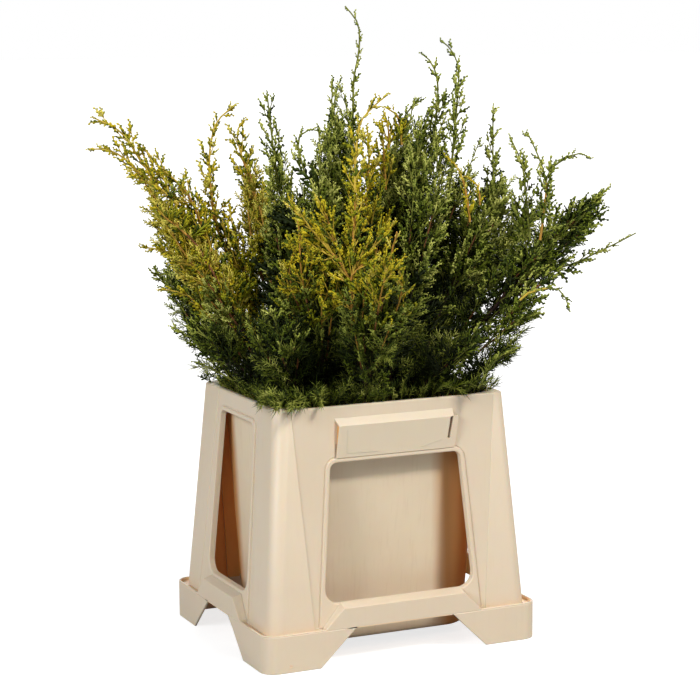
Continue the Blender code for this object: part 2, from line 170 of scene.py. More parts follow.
class ShaderGroups:
    """The shader node groups that several finishes share, each built once.

    The patterns' scales are cells in a metre. The bounds of the bucket's painted glow and shade are products
    of the places along X and Y, which are lowest at the two corners where they are painted.
    """

    cloud_scale = 14.0
    scuff_scale = 260.0
    scuff_stretch = (1.0, 1.0, 0.05)
    grain_scale = 900.0
    scuff_roughness = 0.12
    strip_scale = 420.0
    strip_stretch = (1.0, 1.0, 0.12)
    sheen_scale = 500.0
    painted_glow_bounds = (-0.0096, -0.0072)
    painted_glow_heights = (0.310, 0.330)
    painted_shade_bounds = (-0.0126, -0.0100)
    painted_shade_scale = 0.60

    def __init__(self) -> None:
        """Build the groups."""
        self.moulding = self.build_moulding()
        self.mottle = self.build_mottle()
        self.corner_glow = self.build_corner_glow()
        self.fissures = self.build_fissures()

    @staticmethod
    def noise(wiring: Wiring, scale: float, stretch: Colour = (1.0, 1.0, 1.0),
              detail: float = 3.0) -> NodeSocket:
        """Add a noise pattern on object coordinates.

        Args:
            wiring: the tree's wiring.
            scale: pattern cells in a metre.
            stretch: how much faster the pattern runs along each axis.
            detail: octaves of finer noise.

        Returns:
            The noise's value, from 0 to 1.
        """
        place = wiring.add("ShaderNodeTexCoord").outputs["Object"]
        mapping = wiring.add("ShaderNodeMapping", {"Scale": stretch, "Vector": place})
        inputs = {"Scale": scale, "Detail": detail, "Vector": mapping.outputs["Vector"]}
        return wiring.add("ShaderNodeTexNoise", inputs).outputs["Fac"]

    @staticmethod
    def range_of(wiring: Wiring, source: NodeSocket, low: float, high: float,
                 from_low: float = 0.35, from_high: float = 0.65) -> NodeSocket:
        """Spread a value between two limits.

        Args:
            wiring: the tree's wiring.
            source: the value to spread.
            low: the result at and under from_low.
            high: the result at and over from_high.
            from_low: the source's value that gives low.
            from_high: the source's value that gives high.

        Returns:
            The result.
        """
        inputs = {"Value": source, "From Min": from_low, "From Max": from_high, "To Min": low, "To Max": high}
        return wiring.add("ShaderNodeMapRange", inputs).outputs["Result"]

    def build_moulding(self) -> NodeTree:
        """Build the wear of moulded plastic: soft clouds, upright scuffs and a fine grain.

        Returns:
            The node group.
        """
        wiring, given, made = Wiring.start(
            "moulded_wear", "ShaderNodeTree",
            {"Colour": ("Color", (0.8, 0.66, 0.48, 1)), "Worn Colour": ("Color", (0.7, 0.5, 0.3, 1)),
             "Wear": ("Float", 0.3), "Roughness": ("Float", 0.4)},
            {"Colour": "Color", "Roughness": "Float", "Height": "Float"})
        clouds = self.range_of(wiring, self.noise(wiring, self.cloud_scale, detail=4.0), 0.0, 1.0)
        scuffs = self.noise(wiring, self.scuff_scale, self.scuff_stretch, 5.0)
        scuffs = self.range_of(wiring, scuffs, 0.0, 1.0, 0.55, 0.75)
        amount = wiring.calculate("MULTIPLY", wiring.calculate("ADD", clouds, scuffs), given.outputs["Wear"])
        rough = wiring.calculate("MULTIPLY_ADD", scuffs, self.scuff_roughness, given.outputs["Roughness"])
        wiring.feed(made, {
            "Colour": wiring.blend(amount, given.outputs["Colour"], given.outputs["Worn Colour"]),
            "Roughness": rough, "Height": self.noise(wiring, self.grain_scale, detail=2.0)})
        return wiring.tree

    def build_corner_glow(self) -> NodeTree:
        """Build the painted light and shade near two of the bucket's corners, where light comes back warm
        from the skirt.

        Returns:
            The node group.
        """
        wiring, given, made = Wiring.start(
            "corner_glow", "ShaderNodeTree",
            {"Colour": ("Color", (0.7, 0.57, 0.4, 1)), "Corner Colour": ("Color", (0.8, 0.4, 0.15, 1))},
            {"Colour": "Color"})
        place = wiring.add("ShaderNodeTexCoord").outputs["Object"]
        parts = wiring.add("ShaderNodeSeparateXYZ", {"Vector": place}).outputs
        product = wiring.calculate("MULTIPLY", parts["X"], parts["Y"])
        near = self.range_of(wiring, product, 1.0, 0.0, *self.painted_glow_bounds)
        below = self.range_of(wiring, parts["Z"], 1.0, 0.0, *self.painted_glow_heights)
        # Painted shade: a little way in from the corner, the painted glow colour is darkened.
        shade_scale = self.range_of(wiring, product, 1.0, self.painted_shade_scale, *self.painted_shade_bounds)
        inputs = {"Vector": given.outputs["Corner Colour"], "Scale": shade_scale}
        tint = wiring.add("ShaderNodeVectorMath", inputs, operation="SCALE").outputs["Vector"]
        mask = wiring.calculate("MULTIPLY", near, below)
        wiring.feed(made, {"Colour": wiring.blend(mask, given.outputs["Colour"], tint)})
        return wiring.tree

    def build_mottle(self) -> NodeTree:
        """Build the mottle of leaves: a slow drift between two colours, and a fine flicker.

        Returns:
            The node group.
        """
        wiring, given, made = Wiring.start(
            "leaf_mottle", "ShaderNodeTree",
            {"Colour": ("Color", (0.1, 0.2, 0.02, 1)), "Far Colour": ("Color", (0.05, 0.1, 0.01, 1)),
             "Patch Scale": ("Float", 45.0)},
            {"Colour": "Color", "Roughness": "Float"})
        place = wiring.add("ShaderNodeTexCoord").outputs["Object"]
        inputs = {"Detail": 2.0, "Vector": place, "Scale": given.outputs["Patch Scale"]}
        drift = self.range_of(wiring, wiring.add("ShaderNodeTexNoise", inputs).outputs["Fac"], 0.0, 1.0)
        wiring.feed(made, {
            "Colour": wiring.blend(drift, given.outputs["Colour"], given.outputs["Far Colour"]),
            "Roughness": self.range_of(wiring, self.noise(wiring, self.sheen_scale), 0.42, 0.68)})
        return wiring.tree

    def build_fissures(self) -> NodeTree:
        """Build the flaking of juniper bark: long strips along the stem.

        Returns:
            The node group.
        """
        wiring, given, made = Wiring.start(
            "bark_strips", "ShaderNodeTree",
            {"Colour": ("Color", (0.16, 0.07, 0.03, 1)), "Deep Colour": ("Color", (0.03, 0.012, 0.01, 1))},
            {"Colour": "Color", "Height": "Float"})
        strips = self.noise(wiring, self.strip_scale, self.strip_stretch, 4.0)
        depth = self.range_of(wiring, strips, 0.0, 1.0)
        colour = wiring.blend(depth, given.outputs["Deep Colour"], given.outputs["Colour"])
        wiring.feed(made, {"Colour": colour, "Height": strips})
        return wiring.tree


@dataclass(frozen=True)
class Finish:
    """The finish of a piece: a Principled material fed by one of the shared groups."""

    name: str
    colour: Colour
    second: Colour

    def begin(self, group: NodeTree, second_name: str) -> tuple[Material, Wiring, Node, Node]:
        """Start the material with its shader, its group and the two colours.

        Args:
            group: the shared node group.
            second_name: the group's name for the second colour.

        Returns:
            The material, its wiring, its shader and its group node.
        """
        material = bpy.data.materials.new(self.name)
        material.use_nodes = True
        wiring = Wiring(material.node_tree)
        shader = material.node_tree.nodes["Principled BSDF"]
        colours = {"Colour": (*self.colour, 1.0), second_name: (*self.second, 1.0)}
        pattern = wiring.add("ShaderNodeGroup", colours, node_tree=group)
        wiring.feed(shader, {"Base Color": pattern.outputs["Colour"]})
        return material, wiring, shader, pattern

    @staticmethod
    def emboss(wiring: Wiring, shader: Node, height: NodeSocket, depth: float) -> None:
        """Lead a height through a bump to the shader's normal."""
        bump = wiring.add("ShaderNodeBump", {"Distance": depth, "Strength": 1.0, "Height": height})
        wiring.feed(shader, {"Normal": bump.outputs["Normal"]})


@dataclass(frozen=True)
class PlasticFinish(Finish):
    """Moulded polyethylene: satin, a little cloudy, and faintly see-through where it is thin."""

    wear: float = 0.12
    roughness: float = 0.46
    grain_depth: float = 0.00004
    glow: float = 0.25
    glow_reach: Colour = (1.0, 0.42, 0.16)
    glow_scale: float = 0.005
    # The colour of the warm light and shade painted near two of the bucket's corners, if any.
    corner_colour: Colour | None = None

    def make(self, groups: ShaderGroups) -> Material:
        """Build the material.

        Args:
            groups: the shared node groups.

        Returns:
            The material.
        """
        material, wiring, shader, pattern = self.begin(groups.moulding, "Worn Colour")
        wiring.feed(pattern, {"Wear": self.wear, "Roughness": self.roughness})
        self.emboss(wiring, shader, pattern.outputs["Height"], self.grain_depth)
        wiring.feed(shader, {
            "Roughness": pattern.outputs["Roughness"], "Subsurface Weight": self.glow,
            "Subsurface Radius": self.glow_reach, "Subsurface Scale": self.glow_scale})
        # Painted light and shade: the bucket's colour is mixed towards an orange near two corners.
        if self.corner_colour is not None:
            inputs = {"Colour": pattern.outputs["Colour"], "Corner Colour": (*self.corner_colour, 1.0)}
            corners = wiring.add("ShaderNodeGroup", inputs, node_tree=groups.corner_glow)
            wiring.feed(shader, {"Base Color": corners.outputs["Colour"]})
        return material


@dataclass(frozen=True)
class LeafFinish(Finish):
    """Waxy scale leaves, drifting between two near colours."""

    patch_scale: float = 45.0
    shine: float = 0.14

    def make(self, groups: ShaderGroups) -> Material:
        """Build the material.

        Args:
            groups: the shared node groups.

        Returns:
            The material.
        """
        material, wiring, shader, pattern = self.begin(groups.mottle, "Far Colour")
        wiring.feed(pattern, {"Patch Scale": self.patch_scale})
        wiring.feed(shader, {"Roughness": pattern.outputs["Roughness"], "Specular IOR Level": self.shine})
        return material


@dataclass(frozen=True)
class BarkFinish(Finish):
    """Thin bark that flakes in long strips."""

    roughness: float = 0.75
    flake_depth: float = 0.0004

    def make(self, groups: ShaderGroups) -> Material:
        """Build the material.

        Args:
            groups: the shared node groups.

        Returns:
            The material.
        """
        material, wiring, shader, pattern = self.begin(groups.fissures, "Deep Colour")
        wiring.feed(shader, {"Roughness": self.roughness})
        self.emboss(wiring, shader, pattern.outputs["Height"], self.flake_depth)
        return material


def finish_piece(piece: Object, replaced: Iterable[str] = ()) -> None:
    """Hang a finished piece on the frame and report it.

    Args:
        piece: the piece, in place.
        replaced: the CAD nodes that it stands for.
    """
    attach(piece, BODY)
    names = list(replaced)
    if names:
        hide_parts(*names)
    LOG.info("%s: %d faces", piece.name, len(piece.data.polygons))


def place_object(name: str, data: ID) -> Object:
    """Make an object of its data and link it into the scene.

    Args:
        name: the object's name.
        data: its mesh, camera or light.

    Returns:
        The object.
    """
    piece = bpy.data.objects.new(name, data)
    bpy.context.scene.collection.objects.link(piece)
    return piece


def object_from(name: str, mesh: BMesh, material: Material | None = None,
                sharp_angle: float = 40.0) -> Object:
    """Turn a bmesh into a linked object, faces outwards and shaded smooth.

    Args:
        name: the object's name.
        mesh: the shape, which is used up.
        material: its finish.
        sharp_angle: edges that turn by more degrees stay sharp.

    Returns:
        The new object.
    """
    bmesh.ops.recalc_face_normals(mesh, faces=mesh.faces)
    data = bpy.data.meshes.new(name)
    mesh.to_mesh(data)
    mesh.free()
    data.shade_smooth()
    data.set_sharp_from_angle(angle=math.radians(sharp_angle))
    if material:
        data.materials.append(material)
    return place_object(name, data)


def loft(mesh: BMesh, loops: list[Loop], ring: bool = False) -> None:
    """Bridge loops of equal length into one closed shell, with capped ends or as a ring.

    Args:
        mesh: the bmesh to add to.
        loops: the outlines in order.
        ring: whether the last loop joins the first.
    """
    rows = [[mesh.verts.new(point) for point in loop] for loop in loops]
    pairs = list(zip(rows, rows[1:]))
    if ring:
        pairs.append((rows[-1], rows[0]))
    count = len(rows[0])
    for low, high in pairs:
        for i in range(count):
            j = (i + 1) % count
            mesh.faces.new((low[i], low[j], high[j], high[i]))
    if not ring:
        mesh.faces.new(rows[0])
        mesh.faces.new(rows[-1])


def round_corners(corners: Corners, radii: list[float], steps: int) -> Loop:
    """Round the corners of a flat outline.

    Args:
        corners: the corners in order.
        radii: the radius at each corner.
        steps: segments in each arc.

    Returns:
        The outline's points.
    """
    outline = []
    count = len(corners)
    for i, (corner, radius) in enumerate(zip(corners, radii)):
        here = Vector(corner)
        before = (Vector(corners[i - 1]) - here).normalized()
        after = (Vector(corners[(i + 1) % count]) - here).normalized()
        half_angle = before.angle(after) / 2
        centre = here + (before + after).normalized() * radius / math.sin(half_angle)
        start = here + before * radius / math.tan(half_angle) - centre
        sweep = math.pi - 2 * half_angle
        for step in range(steps + 1):
            outline.append(centre + Matrix.Rotation(sweep * step / steps, 2) @ start)
    return outline


@dataclass(frozen=True)
class Face:
    """One kind of skirt face.

    Its turns are quarter turns from the front, and its axis is the one that it stands across. The
    other pairs are half widths along it, or heights, at an upper and at a lower place.
    """

    turns: tuple[int, int]
    axis: int
    crease: tuple[float, float]
    window_heights: tuple[float, float]
    window_halves: tuple[float, float]
    band_slope: tuple[float, float]
    arch_slope: tuple[float, float]


LONG_FACE = Face(turns=(0, 2), axis=1, crease=(0.1474, 0.1250), window_heights=(0.263, 0.0795),
                 window_halves=(0.094, 0.110), band_slope=(0.088, 0.1137), arch_slope=(0.070, 0.1213))
SHORT_FACE = Face(turns=(1, 3), axis=0, crease=(0.0688, 0.0980), window_heights=(0.308, 0.084),
                  window_halves=(0.058, 0.070), band_slope=(0.054, 0.0780), arch_slope=(0.0377, 0.0900))


@dataclass
class Mould:
    """The sizes that the container's pieces share."""

    rim_height: float
    rim_half: tuple[float, float]
    band_half: tuple[float, float]
    foot_half: tuple[float, float] = (0.189, 0.155)
    foot_height: float = 0.0507
    rim_radius: float = 0.0186
    wall: float = 0.003
    recess: float = 0.002
    rim_bead: float = 0.0024
    rim_edge: float = 0.0010
    gutter: float = 0.0462
    arch_top: float = 0.0490
    apron_top: float = 0.0763
    gap: float = 0.0003

    @classmethod
    def from_frame(cls) -> "Mould":
        """Read the rim and the band from the model's nodes.

        Returns:
            The sizes.
        """
        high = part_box("inner_bucket")[1]
        band = (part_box("apron_right")[1].x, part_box("apron_back")[1].y)
        return cls(high.z, (high.x, high.y), band)

    def blend(self, top: float, foot: float, height: float) -> float:
        """Return the value at a height on the straight line from the rim to the skirt's foot."""
        share = (self.rim_height - height) / (self.rim_height - self.foot_height)
        return top + (foot - top) * share

    def depth(self, face: Face, height: float) -> float:
        """Return how far a face's pillar flats are from the axis at a height."""
        return self.blend(self.rim_half[face.axis], self.foot_half[face.axis], height)

    def on_face(self, face: Face, turn: int, across: float, height: float, out: float) -> Vector:
        """Place a point of a face.

        Args:
            face: the kind of face.
            turn: quarter turns from the front.
            across: place along the face.
            height: height above the ground.
            out: how far outwards of the pillar flats.

        Returns:
            The point in the shared frame.
        """
        point = Vector((across, -self.depth(face, height) - out, height))
        return Matrix.Rotation(turn * math.pi / 2, 3, "Z") @ point

    def add_block(self, mesh: BMesh, face: Face, turn: int, corners: Corners, backs: list[float],
                  fronts: list[float]) -> None:
        """Add a block that lies on a face.

        Args:
            mesh: the bmesh to add to.
            face: the kind of face.
            turn: quarter turns from the front.
            corners: its corners across the face and up.
            backs: how far out its back is at each corner.
            fronts: how far out its front is at each corner.
        """
        loft(mesh, [[self.on_face(face, turn, *corner, out) for corner, out in zip(corners, outs)]
                    for outs in (backs, fronts)])


@dataclass
class Skirt:
    """The four windowed faces and the corner pillars between them."""

    mould: Mould
    plastic: Material
    # The finish of the faces that look into the skirt: painted warm light and shade.
    inside: Material
    frame_width: float = 0.0058
    frame_roll: float = 0.0008
    crease_roll: float = 0.0004
    corner_steps: int = 9
    window_radii: tuple[float, ...] = (0.020, 0.020, 0.010, 0.010)
    return_depth: float = 0.0035
    lap: float = 0.0012
    rest: float = 0.0006
    edge_recess: float = 0.0008
    groove: float = 0.0007

    def build(self) -> None:
        """Build the faces and the pillars."""
        for face in (LONG_FACE, SHORT_FACE):
            for turn in face.turns:
                self.build_face(face, turn)
        for turn, name in enumerate(("front_right", "back_right", "back_left", "front_left")):
            self.build_pillar(turn, name)

    def build_face(self, face: Face, turn: int) -> None:
        """Build one face: its recessed field, and the raised frame that rolls into the window.

        Args:
            face: the kind of face.
            turn: quarter turns from the front.
        """
        mould = self.mould
        top = mould.rim_height - mould.rim_edge
        foot = mould.arch_top + 2 * mould.gap
        high, low = face.window_heights
        top_half, foot_half = face.window_halves
        lean = (foot_half - top_half) / (high - low)

        def border(inset: float) -> Loop:
            """Return the face's own edge, moved in by the inset.

            Args:
                inset: how far it is moved in.

            Returns:
                The outline.
            """
            low_half, high_half = (mould.blend(*face.crease, z) + self.lap - inset for z in (foot, top))
            corners = [(-low_half, foot + inset), (low_half, foot + inset),
                       (high_half, top - inset), (-high_half, top - inset)]
            return round_corners(corners, [0.0008] * 4, self.corner_steps)

        def window(grow: float) -> Loop:
            """Return the window's outline, grown by a margin.

            Args:
                grow: the margin.

            Returns:
                The outline.
            """
            corners = [(-foot_half - grow, low - grow), (foot_half + grow, low - grow),
                       (top_half + grow, high + grow), (-top_half - grow, high + grow)]
            return round_corners(corners, [radius + grow for radius in self.window_radii], self.corner_steps)

        def frame_edge(grow: float) -> Loop:
            """Return the frame's outer edge, whose sides run straight down to the face's foot.

            Args:
                grow: how much wider it is than the window.

            Returns:
                The outline.
            """
            bottom = foot + 0.0012
            wide = foot_half + lean * (low - bottom) + grow
            corners = [(-wide, bottom), (wide, bottom),
                       (top_half + grow, high + grow), (-top_half - grow, high + grow)]
            radii = [0.0006, 0.0006, self.window_radii[2] + grow, self.window_radii[3] + grow]
            return round_corners(corners, radii, self.corner_steps)

        roll = self.frame_roll
        field_depth = -mould.recess
        back = field_depth - mould.wall
        lip = back - self.return_depth
        width = self.frame_width
        edge_depth, sunk_depth = -self.edge_recess, field_depth - self.groove
        layers = (
            (border(0.0), back), (border(0.0), edge_depth - roll / 4), (border(roll / 4), edge_depth),
            (border(roll / 4 + self.rest), edge_depth), (frame_edge(width + 0.0018 + self.rest), field_depth),
            (frame_edge(width + 0.0018), field_depth), (frame_edge(width + 0.0012), sunk_depth),
            (frame_edge(width + 0.0002), sunk_depth), (frame_edge(width), field_depth),
            (frame_edge(width - 0.0002), -roll), (frame_edge(width - 0.0006), -roll / 3),
            (frame_edge(width - 0.0014), 0.0), (frame_edge(width - 0.0014 - self.rest), 0.0),
            (window(0.0018 + self.rest), 0.0), (window(0.0018), 0.0), (window(0.0008), -roll / 3),
            (window(0.0002), -roll), (window(0.0), -2 * roll), (window(0.0), lip), (window(0.0016), lip),
            (window(0.0022), back),
        )
        mesh = bmesh.new()
        loops = [[mould.on_face(face, turn, p.x, p.y, out) for p in outline] for outline, out in layers]
        loft(mesh, loops, ring=True)
        near, far = face.band_slope[1] - 0.0060, mould.blend(*face.crease, foot) - mould.gap
        sunk, cover = mould.gutter + mould.gap, foot + 0.0005
        for side in (-1, 1):
            corners = [(side * near, sunk), (side * far, sunk), (side * far, cover), (side * near, cover)]
            mould.add_block(mesh, face, turn, corners, [back] * 4, [edge_depth - 0.0001] * 4)
        piece = object_from("skirt_" + SIDE_NAMES[turn], mesh, self.plastic, 50.0)
        self.line(piece, (face.axis,))
        finish_piece(piece, ["panel_" + SIDE_NAMES[turn]])

    def line(self, piece: Object, axes: tuple[int, ...]) -> None:
        """Give the faces that look into the skirt painted light and shade: an orange-brown for light through
        the wall.

        Args:
            piece: the piece of the skirt.
            axes: the axes that its walls stand across.
        """
        mould = self.mould
        piece.data.materials.append(self.inside)
        for polygon in piece.data.polygons:
            at = polygon.center
            sunk = min(mould.depth(face, at.z) - abs(at[face.axis]) for face in (SHORT_FACE, LONG_FACE))
            inwards = max(-polygon.normal[axis] * math.copysign(1.0, at[axis]) for axis in axes)
            if sunk > 0.9 * mould.wall and inwards > 0.6:
                polygon.material_index = 1

    def pillar_outline(self, height: float, shrink: float = 0.0) -> Loop:
        """Return a pillar's level outline in the corner at +X and -Y, with small rolls at its two creases.

        Args:
            height: the level.
            shrink: how far it is moved in.

        Returns:
            Its points.
        """
        mould = self.mould
        roll = self.crease_roll
        half = [mould.blend(top, foot, height) - shrink for top, foot in zip(mould.rim_half, mould.foot_half)]
        long_edge = mould.blend(*LONG_FACE.crease, height)
        short_edge = mould.blend(*SHORT_FACE.crease, height)
        outline = []
        for inset, forward in ((0.0, True), (mould.wall - shrink, False)):
            x, y, radius = half[0] - inset, half[1] - inset, mould.rim_radius - inset
            rolled = roll if forward else 0.0
            run = [(long_edge, y - rolled), (long_edge + rolled, y), (long_edge + rolled + 0.0003, y),
                   (x - radius - 0.0002, y)]
            for step in range(self.corner_steps + 1):
                angle = math.pi / 2 * (1 - step / self.corner_steps)
                run.append((x - radius + radius * math.cos(angle), y - radius + radius * math.sin(angle)))
            run += [(x, short_edge + rolled + 0.0006), (x, short_edge + rolled), (x - rolled, short_edge)]
            outline += run if forward else run[::-1]
        return [Vector(place) for place in outline]

    def build_pillar(self, turn: int, name: str) -> None:
        """Build one corner pillar, rolled over under the rim.

        Args:
            turn: quarter turns from the front right.
            name: the corner's name.
        """
        mould = self.mould
        top = mould.rim_height - mould.rim_edge
        flip_x = 1 if turn in (0, 1) else -1
        flip_y = -1 if turn in (0, 3) else 1
        loops = []
        for height, shrink in ((mould.gutter + mould.gap, 0.0), (top - 0.0006, 0.0), (top, 0.0005)):
            outline = self.pillar_outline(height, shrink)
            loops.append([Vector((p.x * flip_x, p.y * flip_y, height)) for p in outline])
        mesh = bmesh.new()
        loft(mesh, loops)
        piece = object_from("corner_" + name, mesh, self.plastic, 50.0)
        self.line(piece, (0, 1))
        finish_piece(piece, ["pillar_" + name])


@dataclass
class Bucket:
    """The tapered inner bucket, with the bead that is the container's rim."""

    mould: Mould
    plastic: Material
    top_half: tuple[float, float] = (0.1612, 0.1277)
    shoulder_half: tuple[float, float] = (0.1530, 0.1195)
    shoulder_drop: float = 0.018
    foot_half: tuple[float, float] = (0.1350, 0.0975)
    base: float = 0.012
    floor: float = 0.021
    wall: float = 0.0026
    rounding: float = 0.006
    top_radius: float = 0.050
    shoulder_radius: float = 0.048
    foot_radius: float = 0.037
    corner_steps: int = 12
    rounding_steps: int = 5

    def outline(self, half: tuple[float, float], radius: float, height: float, inset: float = 0.0) -> Loop:
        """Return a level rounded rectangle around the axis.

        Args:
            half: its half widths along X and Y.
            radius: the radius of its corners.
            height: how high it lies.
            inset: how far it is moved in, corners and all.

        Returns:
            Its points.
        """
        x, y = (side - inset for side in half)
        corners = [(-x, -y), (x, -y), (x, y), (-x, y)]
        points = round_corners(corners, [radius - inset] * 4, self.corner_steps)
        return [Vector((p.x, p.y, height)) for p in points]

    def build(self) -> None:
        """Build the bucket as one lofted wall, from its base out to the rim and down its inside."""
        mould = self.mould
        loops = []
        for step in range(self.rounding_steps + 1):
            angle = math.pi / 2 * step / self.rounding_steps
            height = self.base + self.rounding * (1 - math.cos(angle))
            inset = self.rounding * (1 - math.sin(angle))
            loops.append(self.outline(self.foot_half, self.foot_radius, height, inset))
        top, bead = mould.rim_height, mould.rim_bead
        shoulder = top - self.shoulder_drop
        for height in (shoulder - 0.003, shoulder):
            loops.append(self.outline(self.shoulder_half, self.shoulder_radius, height))
        for height in (top - 2 * bead, top - bead):
            loops.append(self.outline(self.top_half, self.top_radius, height))
        for inset, height in ((0.0022, top - bead), (0.0015, top - 0.8 * bead), (0.0014, top - 0.3 * bead),
                              (0.0018, top - 0.1 * bead), (0.0025, top)):
            loops.append(self.outline(mould.rim_half, mould.rim_radius, height, inset))
        for inset, height in ((self.wall - 0.0008, top), (self.wall, top - 0.0008)):
            loops.append(self.outline(self.top_half, self.top_radius, height, inset))
        loops.append(self.outline(self.shoulder_half, self.shoulder_radius, shoulder - 0.001, self.wall))
        for lift, extra in ((0.004, 0.0), (0.001, 0.0015), (0.0, 0.004)):
            inset = self.wall + extra
            loops.append(self.outline(self.foot_half, self.foot_radius, self.floor + lift, inset))
        mesh = bmesh.new()
        loft(mesh, loops)
        finish_piece(object_from("bucket", mesh, self.plastic, 50.0), ["inner_bucket"])


@dataclass
class FootBand:
    """The band around the skirt's foot: gutters at the corners, aprons over the arches."""

    mould: Mould
    plastic: Material
    # The painted warm glow inside the gutters; the gate marks take the same colour.
    warm: Material
    corner_radius: float = 0.020
    mark_radius: float = 0.0026
    mark_place: tuple[float, float] = (-0.164, 0.0085)
    mark_steps: int = 14
    ledge_rise: float = 0.004
    corner_steps: int = 10
    edge: float = 0.0007
    groove: float = 0.0006
    gutter_width: float = 0.0134

    def stations(self, face: Face) -> list[tuple[float, float, float, bool]]:
        """Return the stations of one half side, from its middle to its end.

        Args:
            face: the kind of side.

        Returns:
            Place along the side, bottom, top, and whether the station has a gutter.
        """
        mould = self.mould
        band_high, band_low = face.band_slope
        arch_high, arch_low = face.arch_slope
        rise = mould.arch_top / (arch_low - arch_high)
        rows = []
        for across, gutter in ((arch_high, False), (band_high, False), (band_low - 0.0002, False),
                               (band_low + 0.0002, True), (arch_low, True)):
            share = min(max((across - band_high) / (band_low - band_high), 0.0), 1.0)
            top = mould.apron_top + (mould.foot_height - mould.apron_top) * share
            bottom = min(mould.arch_top, max(0.0, (arch_low - across) * rise))
            rows.append((across, bottom, top, gutter))
        return rows

    def profile(self, face: Face, bottom: float, top: float, gutter: bool) -> list[tuple[float, float]]:
        """Return the band's cross-section as inset and height.

        Args:
            face: the kind of side.
            bottom: the height of its lower edge.
            top: the height of its upper edge.
            gutter: whether it holds a gutter, or a ledge up to the skirt.

        Returns:
            The section's points, from the lower outer edge round to the lower inner edge.
        """
        mould = self.mould
        edge, wall = self.edge, mould.wall
        crease = mould.foot_height - 2.5 * edge
        points = [(edge, bottom), (0.0, bottom + edge), (0.0, crease - edge), (self.groove, crease),
                  (0.0, crease + edge), (0.0, top - edge), (edge * 0.4, top - edge * 0.4), (edge, top)]
        if gutter:
            floor, width = mould.gutter, self.gutter_width
            points += [(wall - edge, top), (wall, top - edge), (wall, floor + edge), (wall + edge, floor),
                       (width, floor), (width, floor - wall), (wall, floor - wall)]
        else:
            share = (top - mould.foot_height) / (mould.apron_top - mould.foot_height)
            end = top + self.ledge_rise * share
            ledge = mould.band_half[face.axis] - mould.depth(face, end - wall) - mould.gap
            for part in (0.2, 0.4, 0.6, 0.8, 1.0):
                points.append((edge + (ledge - edge) * part, top + (end - top) * part))
            points += [(ledge, end - wall), (wall, top - wall)]
        return points + [(wall, bottom)]

    def build(self) -> None:
        """Build the band as one ring of sections around the container."""
        mould = self.mould
        loops = []
        for turn in range(4):
            face = LONG_FACE if turn in LONG_FACE.turns else SHORT_FACE
            other = SHORT_FACE if face is LONG_FACE else LONG_FACE
            reach, side_end = mould.band_half[face.axis], mould.band_half[other.axis]
            turned = Matrix.Rotation(turn * math.pi / 2, 3, "Z")
            half = self.stations(face)
            rows = [(-across, *rest) for across, *rest in reversed(half)] + half
            for across, bottom, top, gutter in rows:
                section = self.profile(face, bottom, top, gutter)
                loops.append([turned @ Vector((across, inset - reach, height)) for inset, height in section])
            corner = (side_end - self.corner_radius, self.corner_radius - reach)
            for step in range(self.corner_steps + 1):
                angle = math.pi / 2 * (step / self.corner_steps - 1)
                normal = Vector((math.cos(angle), math.sin(angle), 0.0))
                loops.append([turned @ (Vector((*corner, height)) + normal * (self.corner_radius - inset))
                              for inset, height in self.profile(face, 0.0, mould.foot_height, True)])
        mesh = bmesh.new()
        loft(mesh, loops, ring=True)
        names = [f"apron_{side}" for side in SIDE_NAMES]
        names += [f"foot_{corner}" for corner in ("front_left", "front_right", "back_left", "back_right")]
        piece = object_from("foot_band", mesh, self.plastic, 30.0)
        self.paint_gutter_glow(piece)
        finish_piece(piece, names)
        self.add_gate_marks()

    def paint_gutter_glow(self, piece: Object) -> None:
        """Give the inside of the gutters a painted glow: a warmer colour for the light that comes through
        their thin wall.

        Args:
            piece: the foot band.
        """
        piece.data.materials.append(self.warm)
        for polygon in piece.data.polygons:
            at = polygon.center
            inside = self.mould.gutter - 0.0002 < at.z < self.mould.foot_height - 0.0004
            inwards = max(-polygon.normal[axis] * math.copysign(1.0, at[axis]) for axis in (0, 1))
            if inside and (polygon.normal.z > 0.7 or inwards > 0.6):
                polygon.material_index = 1

    def add_gate_marks(self) -> None:
        """Add the low round marks that moulding leaves low on two opposite corners."""
        mesh = bmesh.new()
        reach, (left, low) = self.mould.band_half[1], self.mark_place
        turns = [math.tau * step / self.mark_steps for step in range(self.mark_steps)]
        for turn in LONG_FACE.turns:
            turned = Matrix.Rotation(turn * math.pi / 2, 3, "Z")
            loops = []
            for share, out in ((1.0, -0.0003), (0.9, 0.00025), (0.45, 0.0004), (0.3, 0.0001)):
                radius = share * self.mark_radius
                ring = [(left + math.cos(angle) * radius, low + math.sin(angle) * radius) for angle in turns]
                loops.append([turned @ Vector((across, -reach - out, height)) for across, height in ring])
            loft(mesh, loops)
        finish_piece(object_from("gate_marks", mesh, self.warm, 50.0))


